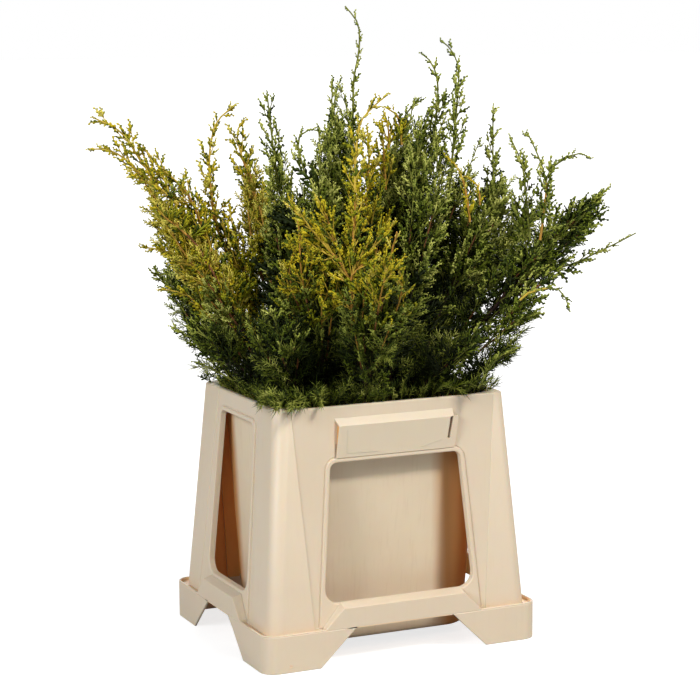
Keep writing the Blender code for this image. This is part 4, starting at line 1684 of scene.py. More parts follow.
SHOOTS = (
    Shoot(Slot.GREEN, ((352, 150), (353, 110), (354, 78), (359, 50), (358, 24), (345, 6)),
          (0.02, 0.02), 0.015),
    Shoot(Slot.GREEN, ((343, 170), (334, 118), (336, 95), (341, 78)), (0.04, 0.05), 0.026),
    Shoot(Slot.GREEN, ((306, 178), (300, 155), (298, 140), (304, 131), (314, 129), (323, 132)),
          (-0.02, -0.02), 0.018),
    Shoot(Slot.GREEN, ((284, 215), (278, 180), (271, 130), (267, 92)), (0.0, 0.0), 0.037),
    Shoot(Slot.GOLD, ((268, 240), (256, 198), (243, 160), (237, 134), (244, 119)),
          (0.05, 0.05), 0.038, Wood.AMBER),
    Shoot(Slot.GOLD, ((250, 310), (231, 262), (216, 225), (210, 180), (210, 150), (217, 122), (235, 105)),
          (0.02, 0.05), 0.038, Wood.AMBER),
    Shoot(Slot.GOLD, ((262, 330), (250, 290), (240, 255), (233, 228), (230, 212)),
          (0.0, 0.02), 0.042, Wood.RUSSET),
    Shoot(Slot.GOLD, ((246, 350), (226, 305), (212, 268), (204, 238), (200, 225)),
          (0.0, 0.0), 0.042, Wood.RUSSET),
    Shoot(Slot.GOLD, ((285, 375), (262, 325), (250, 288), (244, 258)), (0.0, 0.0), 0.044, Wood.RUSSET),
    Shoot(Slot.GOLD, ((272, 372), (250, 335), (236, 300), (226, 272)), (-0.02, -0.02), 0.044, Wood.RUSSET),
    Shoot(Slot.GOLD, ((352, 325), (351, 285), (352, 250), (355, 210), (355, 173), (359, 127),
                      (371, 109), (387, 95)),
          (-0.16, -0.05), 0.032, Wood.AMBER),
    Shoot(Slot.GOLD, ((386, 190), (384, 160), (383, 138), (379, 122)), (-0.03, -0.03), 0.026, Wood.AMBER),
    Shoot(Slot.GOLD, ((402, 145), (399, 120), (392, 109), (385, 107)), (-0.03, -0.03), 0.014, Wood.AMBER),
    Shoot(Slot.GREEN, ((396, 150), (402, 122), (412, 106), (424, 99)), (-0.02, -0.03), 0.018),
    Shoot(Slot.GREEN, ((430, 180), (435, 130), (438, 100), (437, 78), (431, 62), (421, 53)),
          (0.0, 0.02), 0.027),
    Shoot(Slot.GREEN, ((450, 190), (454, 140), (457, 105), (459, 72), (453, 52), (441, 40)),
          (-0.03, -0.02), 0.028),
    Shoot(Slot.GOLD, ((470, 222), (468, 205), (463, 180), (455, 164), (446, 156)),
          (-0.05, -0.06), 0.013, Wood.AMBER),
    Shoot(Slot.GOLD, ((480, 205), (479, 190), (474, 180), (466, 176)), (-0.05, -0.05), 0.013, Wood.AMBER),
    Shoot(Slot.GREEN, ((497, 245), (495, 205), (493, 165), (493, 107)), (0.02, 0.02), 0.030),
    Shoot(Slot.GREEN, ((530, 240), (527, 205), (522, 165), (510, 137)), (-0.02, -0.02), 0.028),
    Shoot(Slot.GREEN, ((540, 240), (544, 212), (546, 183), (539, 158), (527, 132)),
          (-0.04, -0.04), 0.026, Wood.AMBER),
    Shoot(Slot.GREEN, ((545, 186), (550, 170), (560, 162), (577, 153), (591, 158)), (-0.04, -0.04), 0.015),
    Shoot(Slot.GREEN, ((520, 300), (530, 292), (543, 289), (556, 288), (565, 297), (569, 308)),
          (-0.12, -0.13), 0.012, Wood.HONEY),
    Shoot(Slot.DARK, ((478, 388), (488, 372), (498, 357), (518, 348)), (-0.10, -0.11), 0.017),
    Shoot(Slot.DARK, ((556, 240), (574, 222), (590, 208), (602, 196)), (-0.01, 0.0), 0.030, Wood.RUSSET),
    Shoot(Slot.DARK, ((520, 296), (536, 288), (550, 276), (562, 266)), (-0.03, -0.02), 0.026, Wood.RUSSET),
    Shoot(Slot.GREEN, ((528, 252), (522, 228), (517, 208), (513, 192)), (0.0, 0.0), 0.028),
    Shoot(Slot.GOLD, ((366, 210), (368, 180), (369, 152), (367, 126)), (-0.06, -0.05), 0.030, Wood.AMBER),
    Shoot(Slot.GOLD, ((388, 150), (389, 136), (387, 122), (384, 112)), (-0.03, -0.03), 0.022, Wood.AMBER),
    Shoot(Slot.GOLD, ((252, 305), (238, 268), (228, 242), (222, 220)), (0.0, 0.01), 0.044, Wood.RUSSET),
    Shoot(Slot.DARK, ((520, 285), (545, 250), (562, 228), (580, 211), (597, 199), (609, 187)),
          (-0.01, 0.0), 0.034, Wood.RUSSET),
    Shoot(Slot.DARK, ((478, 352), (500, 335), (520, 320), (541, 308)), (-0.03, -0.05), 0.034, Wood.RUSSET),
    Shoot(Slot.DARK, ((562, 246), (580, 233), (594, 219), (604, 205)), (-0.01, 0.0), 0.026, Wood.RUSSET),
    Shoot(Slot.DARK, ((500, 322), (518, 308), (532, 300), (544, 298)), (-0.04, -0.05), 0.030, Wood.RUSSET),
    Shoot(Slot.DARK, ((498, 335), (514, 322), (528, 316), (538, 317)), (-0.04, -0.05), 0.026, Wood.RUSSET),
    Shoot(Slot.GREEN, ((535, 272), (562, 267), (580, 261), (598, 252), (617, 243), (636, 233)),
          (0.02, 0.04), 0.020),
    Shoot(Slot.GOLD, ((218, 268), (200, 240), (185, 215), (167, 190), (153, 176), (140, 160),
                      (127, 139), (115, 128), (92, 117)),
          (-0.02, -0.03), 0.042, Wood.AMBER),
    Shoot(Slot.GOLD, ((215, 262), (203, 228), (190, 198), (177, 182), (164, 171), (151, 158), (143, 146)),
          (-0.03, -0.03), 0.036, Wood.AMBER),
    Shoot(Slot.GOLD, ((178, 205), (153, 182), (138, 171), (124, 158), (108, 150), (88, 149)),
          (-0.05, -0.07), 0.028, Wood.HONEY),
    Shoot(Slot.GREEN, ((168, 195), (178, 183), (187, 177)), (-0.05, -0.05), 0.009),
    Shoot(Slot.GOLD, ((215, 290), (188, 262), (165, 251), (142, 247)), (-0.03, -0.05), 0.030, Wood.AMBER),
    Shoot(Slot.GOLD, ((218, 325), (196, 302), (178, 292), (160, 289)), (-0.03, -0.05), 0.028, Wood.RUSSET),
    Shoot(Slot.DARK, ((226, 360), (203, 345), (186, 335), (170, 326)), (-0.03, -0.05), 0.026),
    Shoot(Slot.DARK, ((232, 380), (215, 370), (205, 365), (195, 362)), (-0.04, -0.05), 0.024),
    Shoot(Slot.GOLD, ((351, 282), (340, 262), (328, 249), (301, 217), (285, 203)),
          (-0.165, -0.17), 0.032, Wood.AMBER),
    Shoot(Slot.GOLD, ((351, 280), (357, 263), (378, 243), (395, 221)), (-0.165, -0.17), 0.030, Wood.AMBER),
    Shoot(Slot.GOLD, ((352, 284), (341, 279), (329, 275)), (-0.17, -0.17), 0.018, Wood.AMBER),
    Shoot(Slot.GOLD, ((351, 305), (344, 299), (335, 294)), (-0.17, -0.17), 0.015, Wood.AMBER),
    Shoot(Slot.GOLD, ((352, 275), (363, 264), (376, 257)), (-0.17, -0.17), 0.020, Wood.AMBER),
    Shoot(Slot.GOLD, ((318, 262), (304, 250), (284, 243)), (-0.13, -0.14), 0.024, Wood.AMBER),
    Shoot(Slot.GOLD, ((335, 245), (326, 215), (314, 193)), (-0.12, -0.12), 0.028, Wood.AMBER),
)


@dataclass(frozen=True)
class Habit:
    """How growth fills a mass.

    Single shoots take over above the grown share of its middle line. The rest is how wide it is,
    which share of its wood is old, and how far its leaves' painted light is lowered: painted shade on
    masses that stand in shade, and a darker own colour on others; below zero, they are lighter.
    """

    grown: float = 1.0
    slim: float = 1.0
    ripe: float = 0.34
    dim: float = 0.0


HABITS = {
    "leader": Habit(grown=0.66),
    "dark_left": Habit(grown=0.70, dim=-0.20),
    "golden_left": Habit(grown=0.72, ripe=0.50, dim=-0.22),
    "golden_left_back": Habit(grown=0.70, slim=0.66, dim=-0.16),
    "golden_middle": Habit(grown=0.60, dim=0.06),
    "tall_front": Habit(grown=0.70),
    "tall_back": Habit(grown=0.76),
    "right_leader": Habit(grown=0.78, dim=-0.06),
    "right_front_leader": Habit(grown=0.60, dim=-0.06),
    "right_far_leader": Habit(grown=0.70, slim=0.90),
    "right_bough": Habit(grown=0.80, slim=0.92, ripe=0.5, dim=0.10),
    "right_drooping": Habit(grown=0.36, slim=0.50, ripe=0.5, dim=0.10),
    "right_thin": Habit(grown=0.20, slim=0.80),
    "low_right": Habit(grown=0.66, slim=0.74, ripe=0.5, dim=0.08),
    "low_far_left": Habit(grown=0.84, slim=0.40, dim=0.08),
    "low_left": Habit(grown=0.80, slim=0.78),
    "far_left": Habit(grown=0.72, slim=0.96, ripe=0.10, dim=-0.36),
    "far_left_lower": Habit(grown=0.36, slim=0.48, ripe=0.0, dim=-0.26),
    "leaning_right": Habit(dim=-0.06),
    "golden_front_left": Habit(ripe=0.5, dim=0.10),
    "golden_front": Habit(ripe=0.5, dim=0.06),
}


@dataclass(frozen=True)
class Viewpoint:
    """Where the photograph was taken from, and how its frame maps to the shared frame."""

    eye: tuple[float, float, float] = (-1.1743, -2.5408, 0.8132)
    right: tuple[float, float, float] = (0.90762, -0.41975, -0.00529)
    up: tuple[float, float, float] = (0.06810, 0.13477, 0.98853)
    back: tuple[float, float, float] = (-0.41423, -0.89758, 0.15091)
    focal: float = 2081.2
    frame_side: float = 700.0
    sensor: float = 36.0

    @property
    def lens(self) -> float:
        """The camera's focal length in millimetres."""
        return self.focal / self.frame_side * self.sensor

    def place(self, across: float, down: float, depth: float) -> Vector:
        """Return the point seen at a place of the frame, so far behind the container's middle.

        Args:
            across: units from the frame's left side.
            down: units from its top.
            depth: how far behind the container's middle it is.

        Returns:
            The point in the shared frame.
        """
        half = self.frame_side / 2
        right, up, back = Vector(self.right), Vector(self.up), Vector(self.back)
        ray = right * (across - half) / self.focal + up * (half - down) / self.focal - back
        level = Vector((-self.back[0], -self.back[1], 0.0)).normalized()
        eye = Vector(self.eye)
        return eye + ray * (depth - eye.dot(level)) / ray.dot(level)


@dataclass
class Branching:
    """The sizes of the rule by which the juniper branches."""

    lateral_gap: float = 0.0060
    gap_growth: float = 0.14
    longest_lateral: float = 0.062
    shortest_lateral: float = 0.0135
    sprig: float = 0.0195
    bold_sprig: float = 0.0172
    green_top: float = 0.43
    gold_fade: float = 0.09
    sprig_gap: float = 0.0082
    branchlet_gap: float = 0.0108
    side_leader_spread: float = 0.0190
    needle_top: float = 0.47
    needle_fade: float = 0.12
    shade_top: float = 0.54
    core_half: tuple[float, float] = (0.145, 0.105)
    core_top: float = 0.57
    core_sprays: int = 620
    heart_sprays: float = 1000.0
    spill_branches: int = 36
    tone_lift: float = 0.10
    tone_spread: float = 0.10
    light_foot: float = 0.36
    light_rise: float = 0.30
    patch_scale: float = 22.0
    golden_flat_share: float = 0.70
    green_flat_share: float = 0.35
    stub_size: float = 0.0135
    needle_stretch: float = 1.3
    twig_girth: float = 0.0004
    twig_taper: float = 0.009
    leader_steps: int = 20
    side_leader_steps: int = 10
    fringe_gap: float = 0.014
    fringe_insets: tuple[float, ...] = (0.010, 0.032, 0.056, 0.080)


@dataclass
class Juniper:
    """The bunch of juniper: its stems, and the crown that is grown from them by a seeded rule."""

    trees: GrowthTrees
    groups: ShaderGroups
    mould: Mould
    rule: Branching = field(default_factory=Branching)
    seed: int = 23
    piece_limit: int = 180000

    def __post_init__(self) -> None:
        """Set out empty beds for sprigs and paths."""
        self.chance = random.Random(self.seed)
        self.scales = {tone: SprigBed("sprigs_" + tone.value) for tone in Tone}
        self.needles = {tone: SprigBed("needles_" + tone.value) for tone in Tone}
        self.limbs = PathBed("stems")
        self.twigs = {wood: PathBed("twigs_" + wood.value) for wood in Wood}
        slots = {part["node"]: Slot(part["material_slot"]) for part in frame["record"]["subparts"]}
        self.plumes = [Plume.from_node(node, slots[node], self.habit(node).slim) for node in sorted(slots)
                       if node.startswith("mass_")]
        self.stem_nodes = sorted(node for node in slots if node.startswith("stem_"))

    @staticmethod
    def habit(node: str) -> Habit:
        """Return how a mass's growth fills it."""
        return HABITS.get(node[5:], Habit())

    def pick(self, slot: Slot, light: float) -> Tone:
        """Choose a leaf colour.

        Args:
            slot: the plume's slot.
            light: from 0 deep inside the crown to about 1 at its outside.

        Returns:
            The colour.
        """
        level = light + self.rule.tone_lift + self.chance.gauss(0.0, self.rule.tone_spread)
        return next(tone for limit, tone in TONE_LADDERS[slot] if level < limit)

    @staticmethod
    def along(path: list[Vector], distance: float) -> tuple[Vector, Vector]:
        """Return the point and the direction at a distance along a path.

        Args:
            path: the path.
            distance: how far it is from the path's start.

        Returns:
            The point and the unit direction.
        """
        for start, end in zip(path, path[1:]):
            length = (end - start).length
            if distance <= length:
                return start.lerp(end, distance / max(length, 1e-9)), (end - start).normalized()
            distance -= length
        return path[-1], (path[-1] - path[-2]).normalized()

    @staticmethod
    def length_of(path: list[Vector]) -> float:
        """Return a path's length."""
        return sum((b - a).length for a, b in zip(path, path[1:]))

    @staticmethod
    def side_of(direction: Vector, angle: float) -> Vector:
        """Return the unit vector square to a direction, turned round it by an angle."""
        across = direction.orthogonal().normalized()
        return across * math.cos(angle) + direction.cross(across) * math.sin(angle)

    def any_side(self, direction: Vector) -> Vector:
        """Return a unit vector square to a direction, in any of its turns."""
        return self.side_of(direction, self.chance.uniform(0, math.tau))

    def light_at(self, point: Vector, plume: Plume | None) -> float:
        """Return the painted light on the leaves at a place, from 0 deep in the crown to about 1 at its top.

        Args:
            point: the place.
            plume: the plume that it is in, if it is in one.

        Returns:
            The light.
        """
        rule = self.rule
        # Darker colours inside the crown and low down are painted shade, lighter ones outside and high up
        # painted light.
        height = min(max((point.z - rule.light_foot) / rule.light_rise, 0.0), 1.0)
        patches = noise.noise(point * rule.patch_scale)
        if plume is None:
            return 0.50 + 0.18 * height + 0.22 * patches
        patches *= 0.34 if plume.slot is Slot.DARK else 0.22
        outer = min(plume.depth_of(point), 1.0) ** 1.6
        base = 0.05 if plume.slot is Slot.DARK else 0.09
        return base + 0.52 * outer + 0.32 * height + patches - self.habit(plume.name).dim

    def set_sprig(self, point: Vector, aim: Vector, size: float, tone: Tone, leaf: Leaf,
                  side: Vector | None = None) -> None:
        """Plant one sprig.

        Args:
            point: its foot.
            aim: the direction of its axis.
            size: its length.
            tone: its colour.
            leaf: how its leaves look.
            side: the direction that it is flat along, or any.
        """
        rule = self.rule
        flat_share = rule.golden_flat_share if TONE_FINISHES[tone][1] is Slot.GOLD else rule.green_flat_share
        kind = SprigKind.FAN if self.chance.random() < flat_share else SprigKind.BRUSH
        if leaf is Leaf.BOLD or size < rule.stub_size:
            kind = SprigKind.STUB
        bed = self.needles[tone] if leaf is Leaf.NEEDLES else self.scales[tone]
        grown = size * rule.needle_stretch if leaf is Leaf.NEEDLES else size
        reach = point + aim * grown
        boxed = all(low + 0.001 < at < high - 0.001 for low, at, high in zip(CAD_BOX[0], reach, CAD_BOX[1]))
        if not boxed or self.in_wall(reach, grown * 0.4):
            return
        bed.plant(point, aim, self.any_side(aim) if side is None else side, grown, kind.value)

    def in_wall(self, point: Vector, margin: float) -> bool:
        """Return whether leaves of a width around a point would cut through the container's rim.

        Args:
            point: the middle of the leaves.
            margin: their width.

        Returns:
            Whether they would.
        """
        mould = self.mould
        if point.z > mould.rim_height + margin:
            return False
        x, y = mould.rim_half
        beyond = max(abs(point.x) - x, abs(point.y) - y)
        if beyond > 0.003 + 0.5 * margin and point.z > mould.rim_height - 0.012:
            return False
        return abs(point.x) > x - 0.010 - margin or abs(point.y) > y - 0.010 - margin

    @staticmethod
    def bent(foot: Vector, direction: Vector, pull: Vector, length: float, steps: int) -> list[Vector]:
        """Return a path that starts along a direction and bends towards a pull.

        Args:
            foot: where it starts.
            direction: its first direction.
            pull: the direction that it bends to.
            length: its length.
            steps: how many segments it has.

        Returns:
            The path.
        """
        path = [foot]
        for step in range(steps):
            heading = (direction + pull * ((step + 0.5) / steps)).normalized()
            path.append(path[-1] + heading * length / steps)
        return path

    def branch(self, foot: Vector, direction: Vector, pull: Vector, length: float, slot: Slot, light: float,
               leaf: Leaf, face: Vector | None = None) -> None:
        """Grow one flat branch, with smaller branches and sprigs by turns on its two sides.

        Args:
            foot: where it starts.
            direction: its first direction.
            pull: what it bends towards.
            length: its length.
            slot: the plume's slot.
            light: how light its leaves are, from 0 to 1.
            leaf: how its leaves look.
            face: the direction square to the branch that it is a part of, or none for a branch of a leader.
        """
        chance, rule = self.chance, self.rule
        size = (rule.bold_sprig if leaf is Leaf.BOLD else rule.sprig) * chance.uniform(0.85, 1.12)
        # The base is darker and the tip lighter: partly paler new growth at the tips, partly painted shade
        # deeper in.
        tone, tip_tone = self.pick(slot, light - 0.15), self.pick(slot, light + 0.15)
        whole = face is None
        if whole:
            outwards = Vector((foot.x, foot.y, 0.02)).normalized()
            face = self.any_side(direction) + (outwards - direction * outwards.dot(direction)) * 0.9
        flat = face.cross(direction).normalized()
        if length < size * 1.15:
            self.set_sprig(foot, direction, max(length, size * 0.55), tip_tone, leaf, flat)
            return
        steps = 4 if whole else 2
        path = self.bent(foot, direction, pull, length, steps)
        girth = rule.twig_girth + length * rule.twig_taper
        girths = [rule.twig_girth + girth * (1 - i / steps) for i in range(steps + 1)]
        self.twigs[Wood.HONEY if slot is Slot.GOLD and light > 0.4 else Wood.FRESH].lay(path, girths)
        splits = whole and length > size * 1.9
        distance, turn = length * (0.10 if whole else 0.16), 1
        while distance < length - size * 0.5:
            point, aim = self.along(path, distance)
            share = distance / length
            lean = chance.uniform(0.46, 0.72)
            spread = (flat * turn + self.any_side(aim) * 0.25).normalized()
            out = (aim * math.cos(lean) + spread * math.sin(lean)).normalized()
            rest = (length - distance) * chance.uniform(0.42, 0.62) + size * 0.35
            if splits and rest > size * 1.25:
                self.branch(point, out, aim * 0.5, rest, slot, light + 0.18 * (share - 0.5), leaf, face)
                distance += rule.branchlet_gap * chance.uniform(0.8, 1.25)
            else:
                shown = tip_tone if share > 0.5 or chance.random() < 0.2 else tone
                side = face.cross(out) + self.any_side(out) * 0.3
                grown = size * (1.05 - 0.4 * share) * chance.uniform(0.85, 1.15)
                self.set_sprig(point, out, grown, shown, leaf, side)
                distance += rule.sprig_gap * chance.uniform(0.8, 1.25)
            turn = -turn
        aim = (path[-1] - path[-2]).normalized()
        seat = path[-1] - aim * size * 0.45
        self.set_sprig(seat, aim, size * chance.uniform(0.85, 1.05), tip_tone, leaf, flat)

    def clothe(self, path: list[Vector], start: float, reach: Reach, slot: Slot, plume: Plume | None) -> None:
        """Set branches in a spiral along a leader, and a sprig on its tip.

        Args:
            path: the leader.
            start: the share of its length where its branches begin.
            reach: gives a branch's length from its foot, direction and share of the way up.
            slot: the slot of its leaves.
            plume: the plume that it stands in, if it stands in one.
        """
        chance, rule = self.chance, self.rule
        length = self.length_of(path)
        distance = length * start
        spin = chance.uniform(0, math.tau)
        while distance < length - 0.006:
            point, axis = self.along(path, distance)
            share = distance / length
            lean = (chance.uniform(0.38, 0.60) if plume is None
                    else chance.uniform(0.55, 0.92) - 0.25 * share ** 2)
            direction = (axis * math.cos(lean) + self.side_of(axis, spin) * math.sin(lean)).normalized()
            span = reach(point, direction, share) * chance.uniform(0.78, 1.25)
            spin += GOLDEN_ANGLE + chance.uniform(-0.35, 0.35)
            gap = rule.lateral_gap + rule.gap_growth * span
            outwards = Vector((point.x, point.y, 0.0)).normalized()
            inner = plume is not None and point.z < rule.shade_top and direction.dot(outwards) < -0.25
            if inner:
                gap *= 0.7
                span *= 0.7
            elif plume is None:
                gap *= 0.75 + 0.9 * share ** 2
            end = point + direction * span * 0.8
            fade = (rule.needle_top - end.z) / rule.needle_fade
            gold = (end.z - rule.green_top) / rule.gold_fade
            shown = slot
            if plume is not None and slot is Slot.GOLD and chance.random() > gold:
                shown = Slot.GREEN
            needle = chance.random() < min(max(fade, 0.0), 0.75) * (0.4 if shown is Slot.GOLD else 1.0)
            leaf = Leaf.NEEDLES if needle else Leaf.BOLD if plume is None else Leaf.SCALES
            # Painted shade: low branches that point into the crown get darker colours; needled branches get
            # lighter ones.
            light = self.light_at(end, plume) - (0.28 if inner else 0.0) + (0.12 if needle else 0.0)
            pull = axis * 0.5 + Vector((0, 0, chance.uniform(0.0, 0.45)))
            if not inner or chance.random() < 0.6:
                self.branch(point, direction, pull, span, shown, light, leaf)
            distance += gap * chance.uniform(0.8, 1.2)
        axis = (path[-1] - path[-2]).normalized()
        self.set_sprig(path[-1] - axis * 0.0095, axis, 0.0125, self.pick(slot, 0.85), Leaf.BOLD)

    def to_skin(self, plume: Plume, most: float) -> Reach:
        """Return the rule for a branch's length that ends it at its plume's skin.

        Args:
            plume: the plume.
            most: the greatest length.

        Returns:
            A function of the foot, the direction and the share of the way up.
        """
        def reach(foot: Vector, direction: Vector, share: float) -> float:
            """Return how far a branch can go before it leaves the plume.

            Args:
                foot: the branch's foot.
                direction: its first direction.
                share: how far up it is.

            Returns:
                The length.
            """
            distance = self.rule.shortest_lateral
            while distance < most and plume.depth_of(foot + direction * distance) < 1.0:
                distance += 0.003
            return distance
        return reach

    def lay_leader(self, path: list[Vector], foot_girth: float, tip_girth: float, slot: Slot,
                   ripe: float) -> None:
        """Lay a leader's bark: dark old wood low down, and riper or green wood towards its tip.

        Args:
            path: the leader.
            foot_girth: its radius at its foot.
            tip_girth: its radius at its tip.
            slot: the plume's slot.
            ripe: the share of its length that is old wood.
        """
        count = len(path) - 1
        girths = [tip_girth + (foot_girth - tip_girth) * (1 - i / count) ** 1.2 for i in range(count + 1)]
        if slot is Slot.GOLD:
            tip_wood, old, russet = Wood.AMBER, ripe, ripe + 0.25
        else:
            tip_wood, old, russet = Wood.FRESH, ripe + 0.1, ripe + 0.3
        for wood, begin, end in ((Wood.OLD, 0.0, old), (Wood.RUSSET, old, russet), (tip_wood, russet, 1.0)):
            first, last = round(begin * count), round(min(end, 1.0) * count)
            if last > first:
                self.twigs[wood].lay(path[first:last + 1], girths[first:last + 1])

    def grow_plume(self, plume: Plume) -> None:
        """Grow one plume: a leader to its tip, and side leaders that spread from it to its skin.

        Args:
            plume: the plume.
        """
        chance, rule = self.chance, self.rule
        steps, side_steps = rule.leader_steps, rule.side_leader_steps
        first, _ = plume.at(0.0)
        sunk = Vector((first.x * 0.88, first.y * 0.88, first.z - 0.045))
        grown = self.habit(plume.name).grown
        main = [sunk] + [plume.at(grown * step / steps)[0] for step in range(steps + 1)]
        for i in range(2, len(main) - 1):
            main[i] = main[i] + Vector((chance.uniform(-1, 1), chance.uniform(-1, 1), 0)) * 0.0022
        self.lay_leader(main, 0.0011 + 0.034 * plume.width, 0.0010, plume.slot, self.habit(plume.name).ripe)
        self.clothe(main, 0.03, self.to_skin(plume, rule.longest_lateral), plume.slot, plume)
        count = round((plume.width / rule.side_leader_spread) ** 2 * 1.1)
        for i in range(count):
            spin = math.tau * (i + chance.uniform(-0.25, 0.25)) / count
            begin = chance.uniform(0.0, 0.30)
            end = min(0.93, grown + 0.1, begin + chance.uniform(0.42, 0.66))
            away = Vector((math.cos(spin), math.sin(spin), 0)) * chance.uniform(0.62, 0.86)
            path = []
            for step in range(side_steps + 1):
                part = step / side_steps
                middle, radius = plume.at(begin + (end - begin) * part)
                path.append(middle + away * radius * part ** 0.8)
            self.lay_leader(path, 0.0009 + 0.016 * plume.width, 0.0008, plume.slot, 0.25)
            self.clothe(path, 0.22, self.to_skin(plume, rule.longest_lateral * 0.6), plume.slot, plume)

    def grow_heart(self, plume: Plume) -> None:
        """Fill the inside of a plume with sprays in dark colours, painted shade, as far up as it is grown.

        Args:
            plume: the plume.
        """
        chance = self.chance
        for _ in range(round(plume.width * self.rule.heart_sprays)):
            middle, radius = plume.at(chance.uniform(0.0, 0.72) * self.habit(plume.name).grown)
            side = self.any_side(Vector((0, 0, 1)))
            aim = (side * 0.8 + Vector((0, 0, 1)) + self.any_side(side) * 0.4).normalized()
            leaf = Leaf.NEEDLES if middle.z < self.rule.needle_top - 0.04 else Leaf.SCALES
            tone = Tone.SHADE if chance.random() < 0.65 else Tone.DEEP
            if plume.slot is Slot.GOLD and middle.z > self.rule.green_top:
                tone = Tone.OLIVE if chance.random() < 0.6 else Tone.GREEN
            elif middle.z > self.rule.green_top + 0.04:
                tone = Tone.DEEP if chance.random() < 0.6 else Tone.GREEN
            point = middle + side * radius * chance.uniform(0.0, 0.66)
            self.set_sprig(point, aim, chance.uniform(0.024, 0.036), tone, leaf)

    def grow_shoot(self, shoot: Shoot, view: Viewpoint) -> None:
        """Grow one of the single leaders that stand out of the crown.

        Args:
            shoot: the leader.
            view: where it was seen from.
        """
        last = len(shoot.seen) - 1
        near, far = shoot.depths
        corners = [view.place(*seen, near + (far - near) * i / last) for i, seen in enumerate(shoot.seen)]
        path = smooth_path(corners, 5)
        count = len(path) - 1
        foot_girth = 0.0002 + 0.0036 * self.length_of(path)
        half = count // 2
        girths = [0.0010 + foot_girth * (1 - i / count) for i in range(count + 1)]
        self.twigs[shoot.wood].lay(path[:half + 1], girths[:half + 1])
        self.twigs[Wood.HONEY if shoot.slot is Slot.GOLD else Wood.FRESH].lay(path[half:], girths[half:])

        def reach(foot: Vector, direction: Vector, share: float) -> float:
            """Return a branch's length, which falls towards the tip."""
            return max(shoot.leaf * (1.35 - share), 0.0100)

        self.clothe(path, 0.05, reach, shoot.slot, None)

    def grow_core(self) -> None:
        """Fill the middle of the bunch with loose sprays of near-black painted shade, so that no sky shows
        through it.
        """
        chance, rule = self.chance, self.rule
        bottom = self.mould.rim_height - 0.02
        for _ in range(rule.core_sprays):
            height = chance.uniform(0.0, 1.0)
            spin, radius = chance.uniform(0, math.tau), math.sqrt(chance.random())
            widen = 1.0 - 0.35 * height
            x, y = rule.core_half
            point = Vector((math.cos(spin) * radius * x * widen, math.sin(spin) * radius * y * widen,
                            bottom + (rule.core_top - bottom) * height))
            sideways = self.any_side(Vector((0, 0, 1))) * 0.4
            aim = (Vector((point.x * 3, point.y * 3, 0.35)) + sideways).normalized()
            leaf = Leaf.NEEDLES if height < 0.5 else Leaf.SCALES
            self.set_sprig(point, aim, chance.uniform(0.034, 0.046), Tone.SHADE, leaf)

    def grow_fringe(self) -> None:
        """Grow the short needled branches that fill the mouth up to the rim."""
        chance = self.chance
        half = [side - 0.008 for side in self.mould.rim_half]
        rim, gap = self.mould.rim_height, self.rule.fringe_gap
        for sign in (-1, 1):
            for axis in (0, 1):
                count = int(2 * half[axis] / gap)
                for i in range(count):
                    place = -half[axis] + (i + 0.5) * 2 * half[axis] / count
                    for inset in self.rule.fringe_insets:
                        foot = Vector((0, 0, rim - 0.010))
                        foot[axis] = place + chance.uniform(-0.4, 0.4) * gap
                        foot[1 - axis] = sign * (half[1 - axis] - inset - chance.uniform(0, 0.012))
                        outwards = Vector((0, 0, 0))
                        outwards[1 - axis] = sign
                        rise = chance.uniform(1.1, 2.0) + inset * 10
                        if inset > 0.03 and chance.random() < 0.3:
                            rise = 0.9
                        jitter = Vector((chance.uniform(-0.6, 0.6), chance.uniform(-0.6, 0.6), rise))
                        direction = (outwards + jitter).normalized()
                        slot = Slot.DARK if chance.random() < 0.6 else Slot.GREEN
                        # Painted shade: the fringe's rows farther in get darker colours.
                        light = chance.uniform(0.35, 0.75) if inset < 0.05 else 0.2
                        pull = outwards * chance.uniform(0.0, 0.6)
                        leaf = Leaf.NEEDLES if chance.random() < 0.7 else Leaf.SCALES
                        self.branch(foot, direction, pull, chance.uniform(0.020, 0.036), slot, light, leaf)

    def grow_spill(self) -> None:
        """Let short tufts hang over the rim: many at the front left corner, and a few along the front."""
        chance = self.chance
        x, y = self.mould.rim_half
        height = self.mould.rim_height + 0.011
        for i in range(self.rule.spill_branches):
            along = chance.uniform(0.0, 0.06) if i % 3 else chance.uniform(0.06, 0.30)
            foot = Vector((-x + 0.012 + along, -y + 0.012 + chance.uniform(0.0, 0.014), height))
            if i % 3 == 1:
                foot = Vector((foot.y - x + y, foot.x - y + x, foot.z))
            direction = Vector((foot.x * 0.6 + chance.uniform(-0.03, 0.03), foot.y, 0.03)).normalized()
            length = chance.uniform(0.020, 0.034) if along < 0.07 else chance.uniform(0.014, 0.022)
            light = chance.uniform(0.3, 0.9)
            self.branch(foot, direction, Vector((0, 0, -0.7)), length, Slot.GREEN, light, Leaf.NEEDLES)

    def lay_stems(self) -> None:
        """Lay each stem's path along its solid, and on into the plume that it carries."""
        plumes = {plume.name[5:]: plume for plume in self.plumes}
        for node in self.stem_nodes:
            levels: dict[float, list] = {}
            for vertex in frame["nodes"][node].data.vertices:
                levels.setdefault(round(vertex.co.z, 4), []).append(vertex.co.copy())
            rings = [levels[height] for height in sorted(levels)]
            path = [sum(ring, Vector()) / len(ring) for ring in rings]
            girths = [sum((point - middle).length for point in ring) / len(ring)
                      for middle, ring in zip(path, rings)]
            plume = plumes[node[5:]]
            last = girths[-1]
            for step in range(1, 7):
                path.append(plume.at(0.5 * step / 6)[0])
                girths.append(last + (0.0013 - last) * step / 6)
            self.limbs.lay(path, girths)

    def grow(self) -> None:
        """Grow the whole bunch into its beds."""
        self.lay_stems()
        for plume in self.plumes:
            self.grow_plume(plume)
            self.grow_heart(plume)
        view = Viewpoint()
        for shoot in SHOOTS:
            self.grow_shoot(shoot, view)
        self.grow_core()
        self.grow_fringe()
        self.grow_spill()

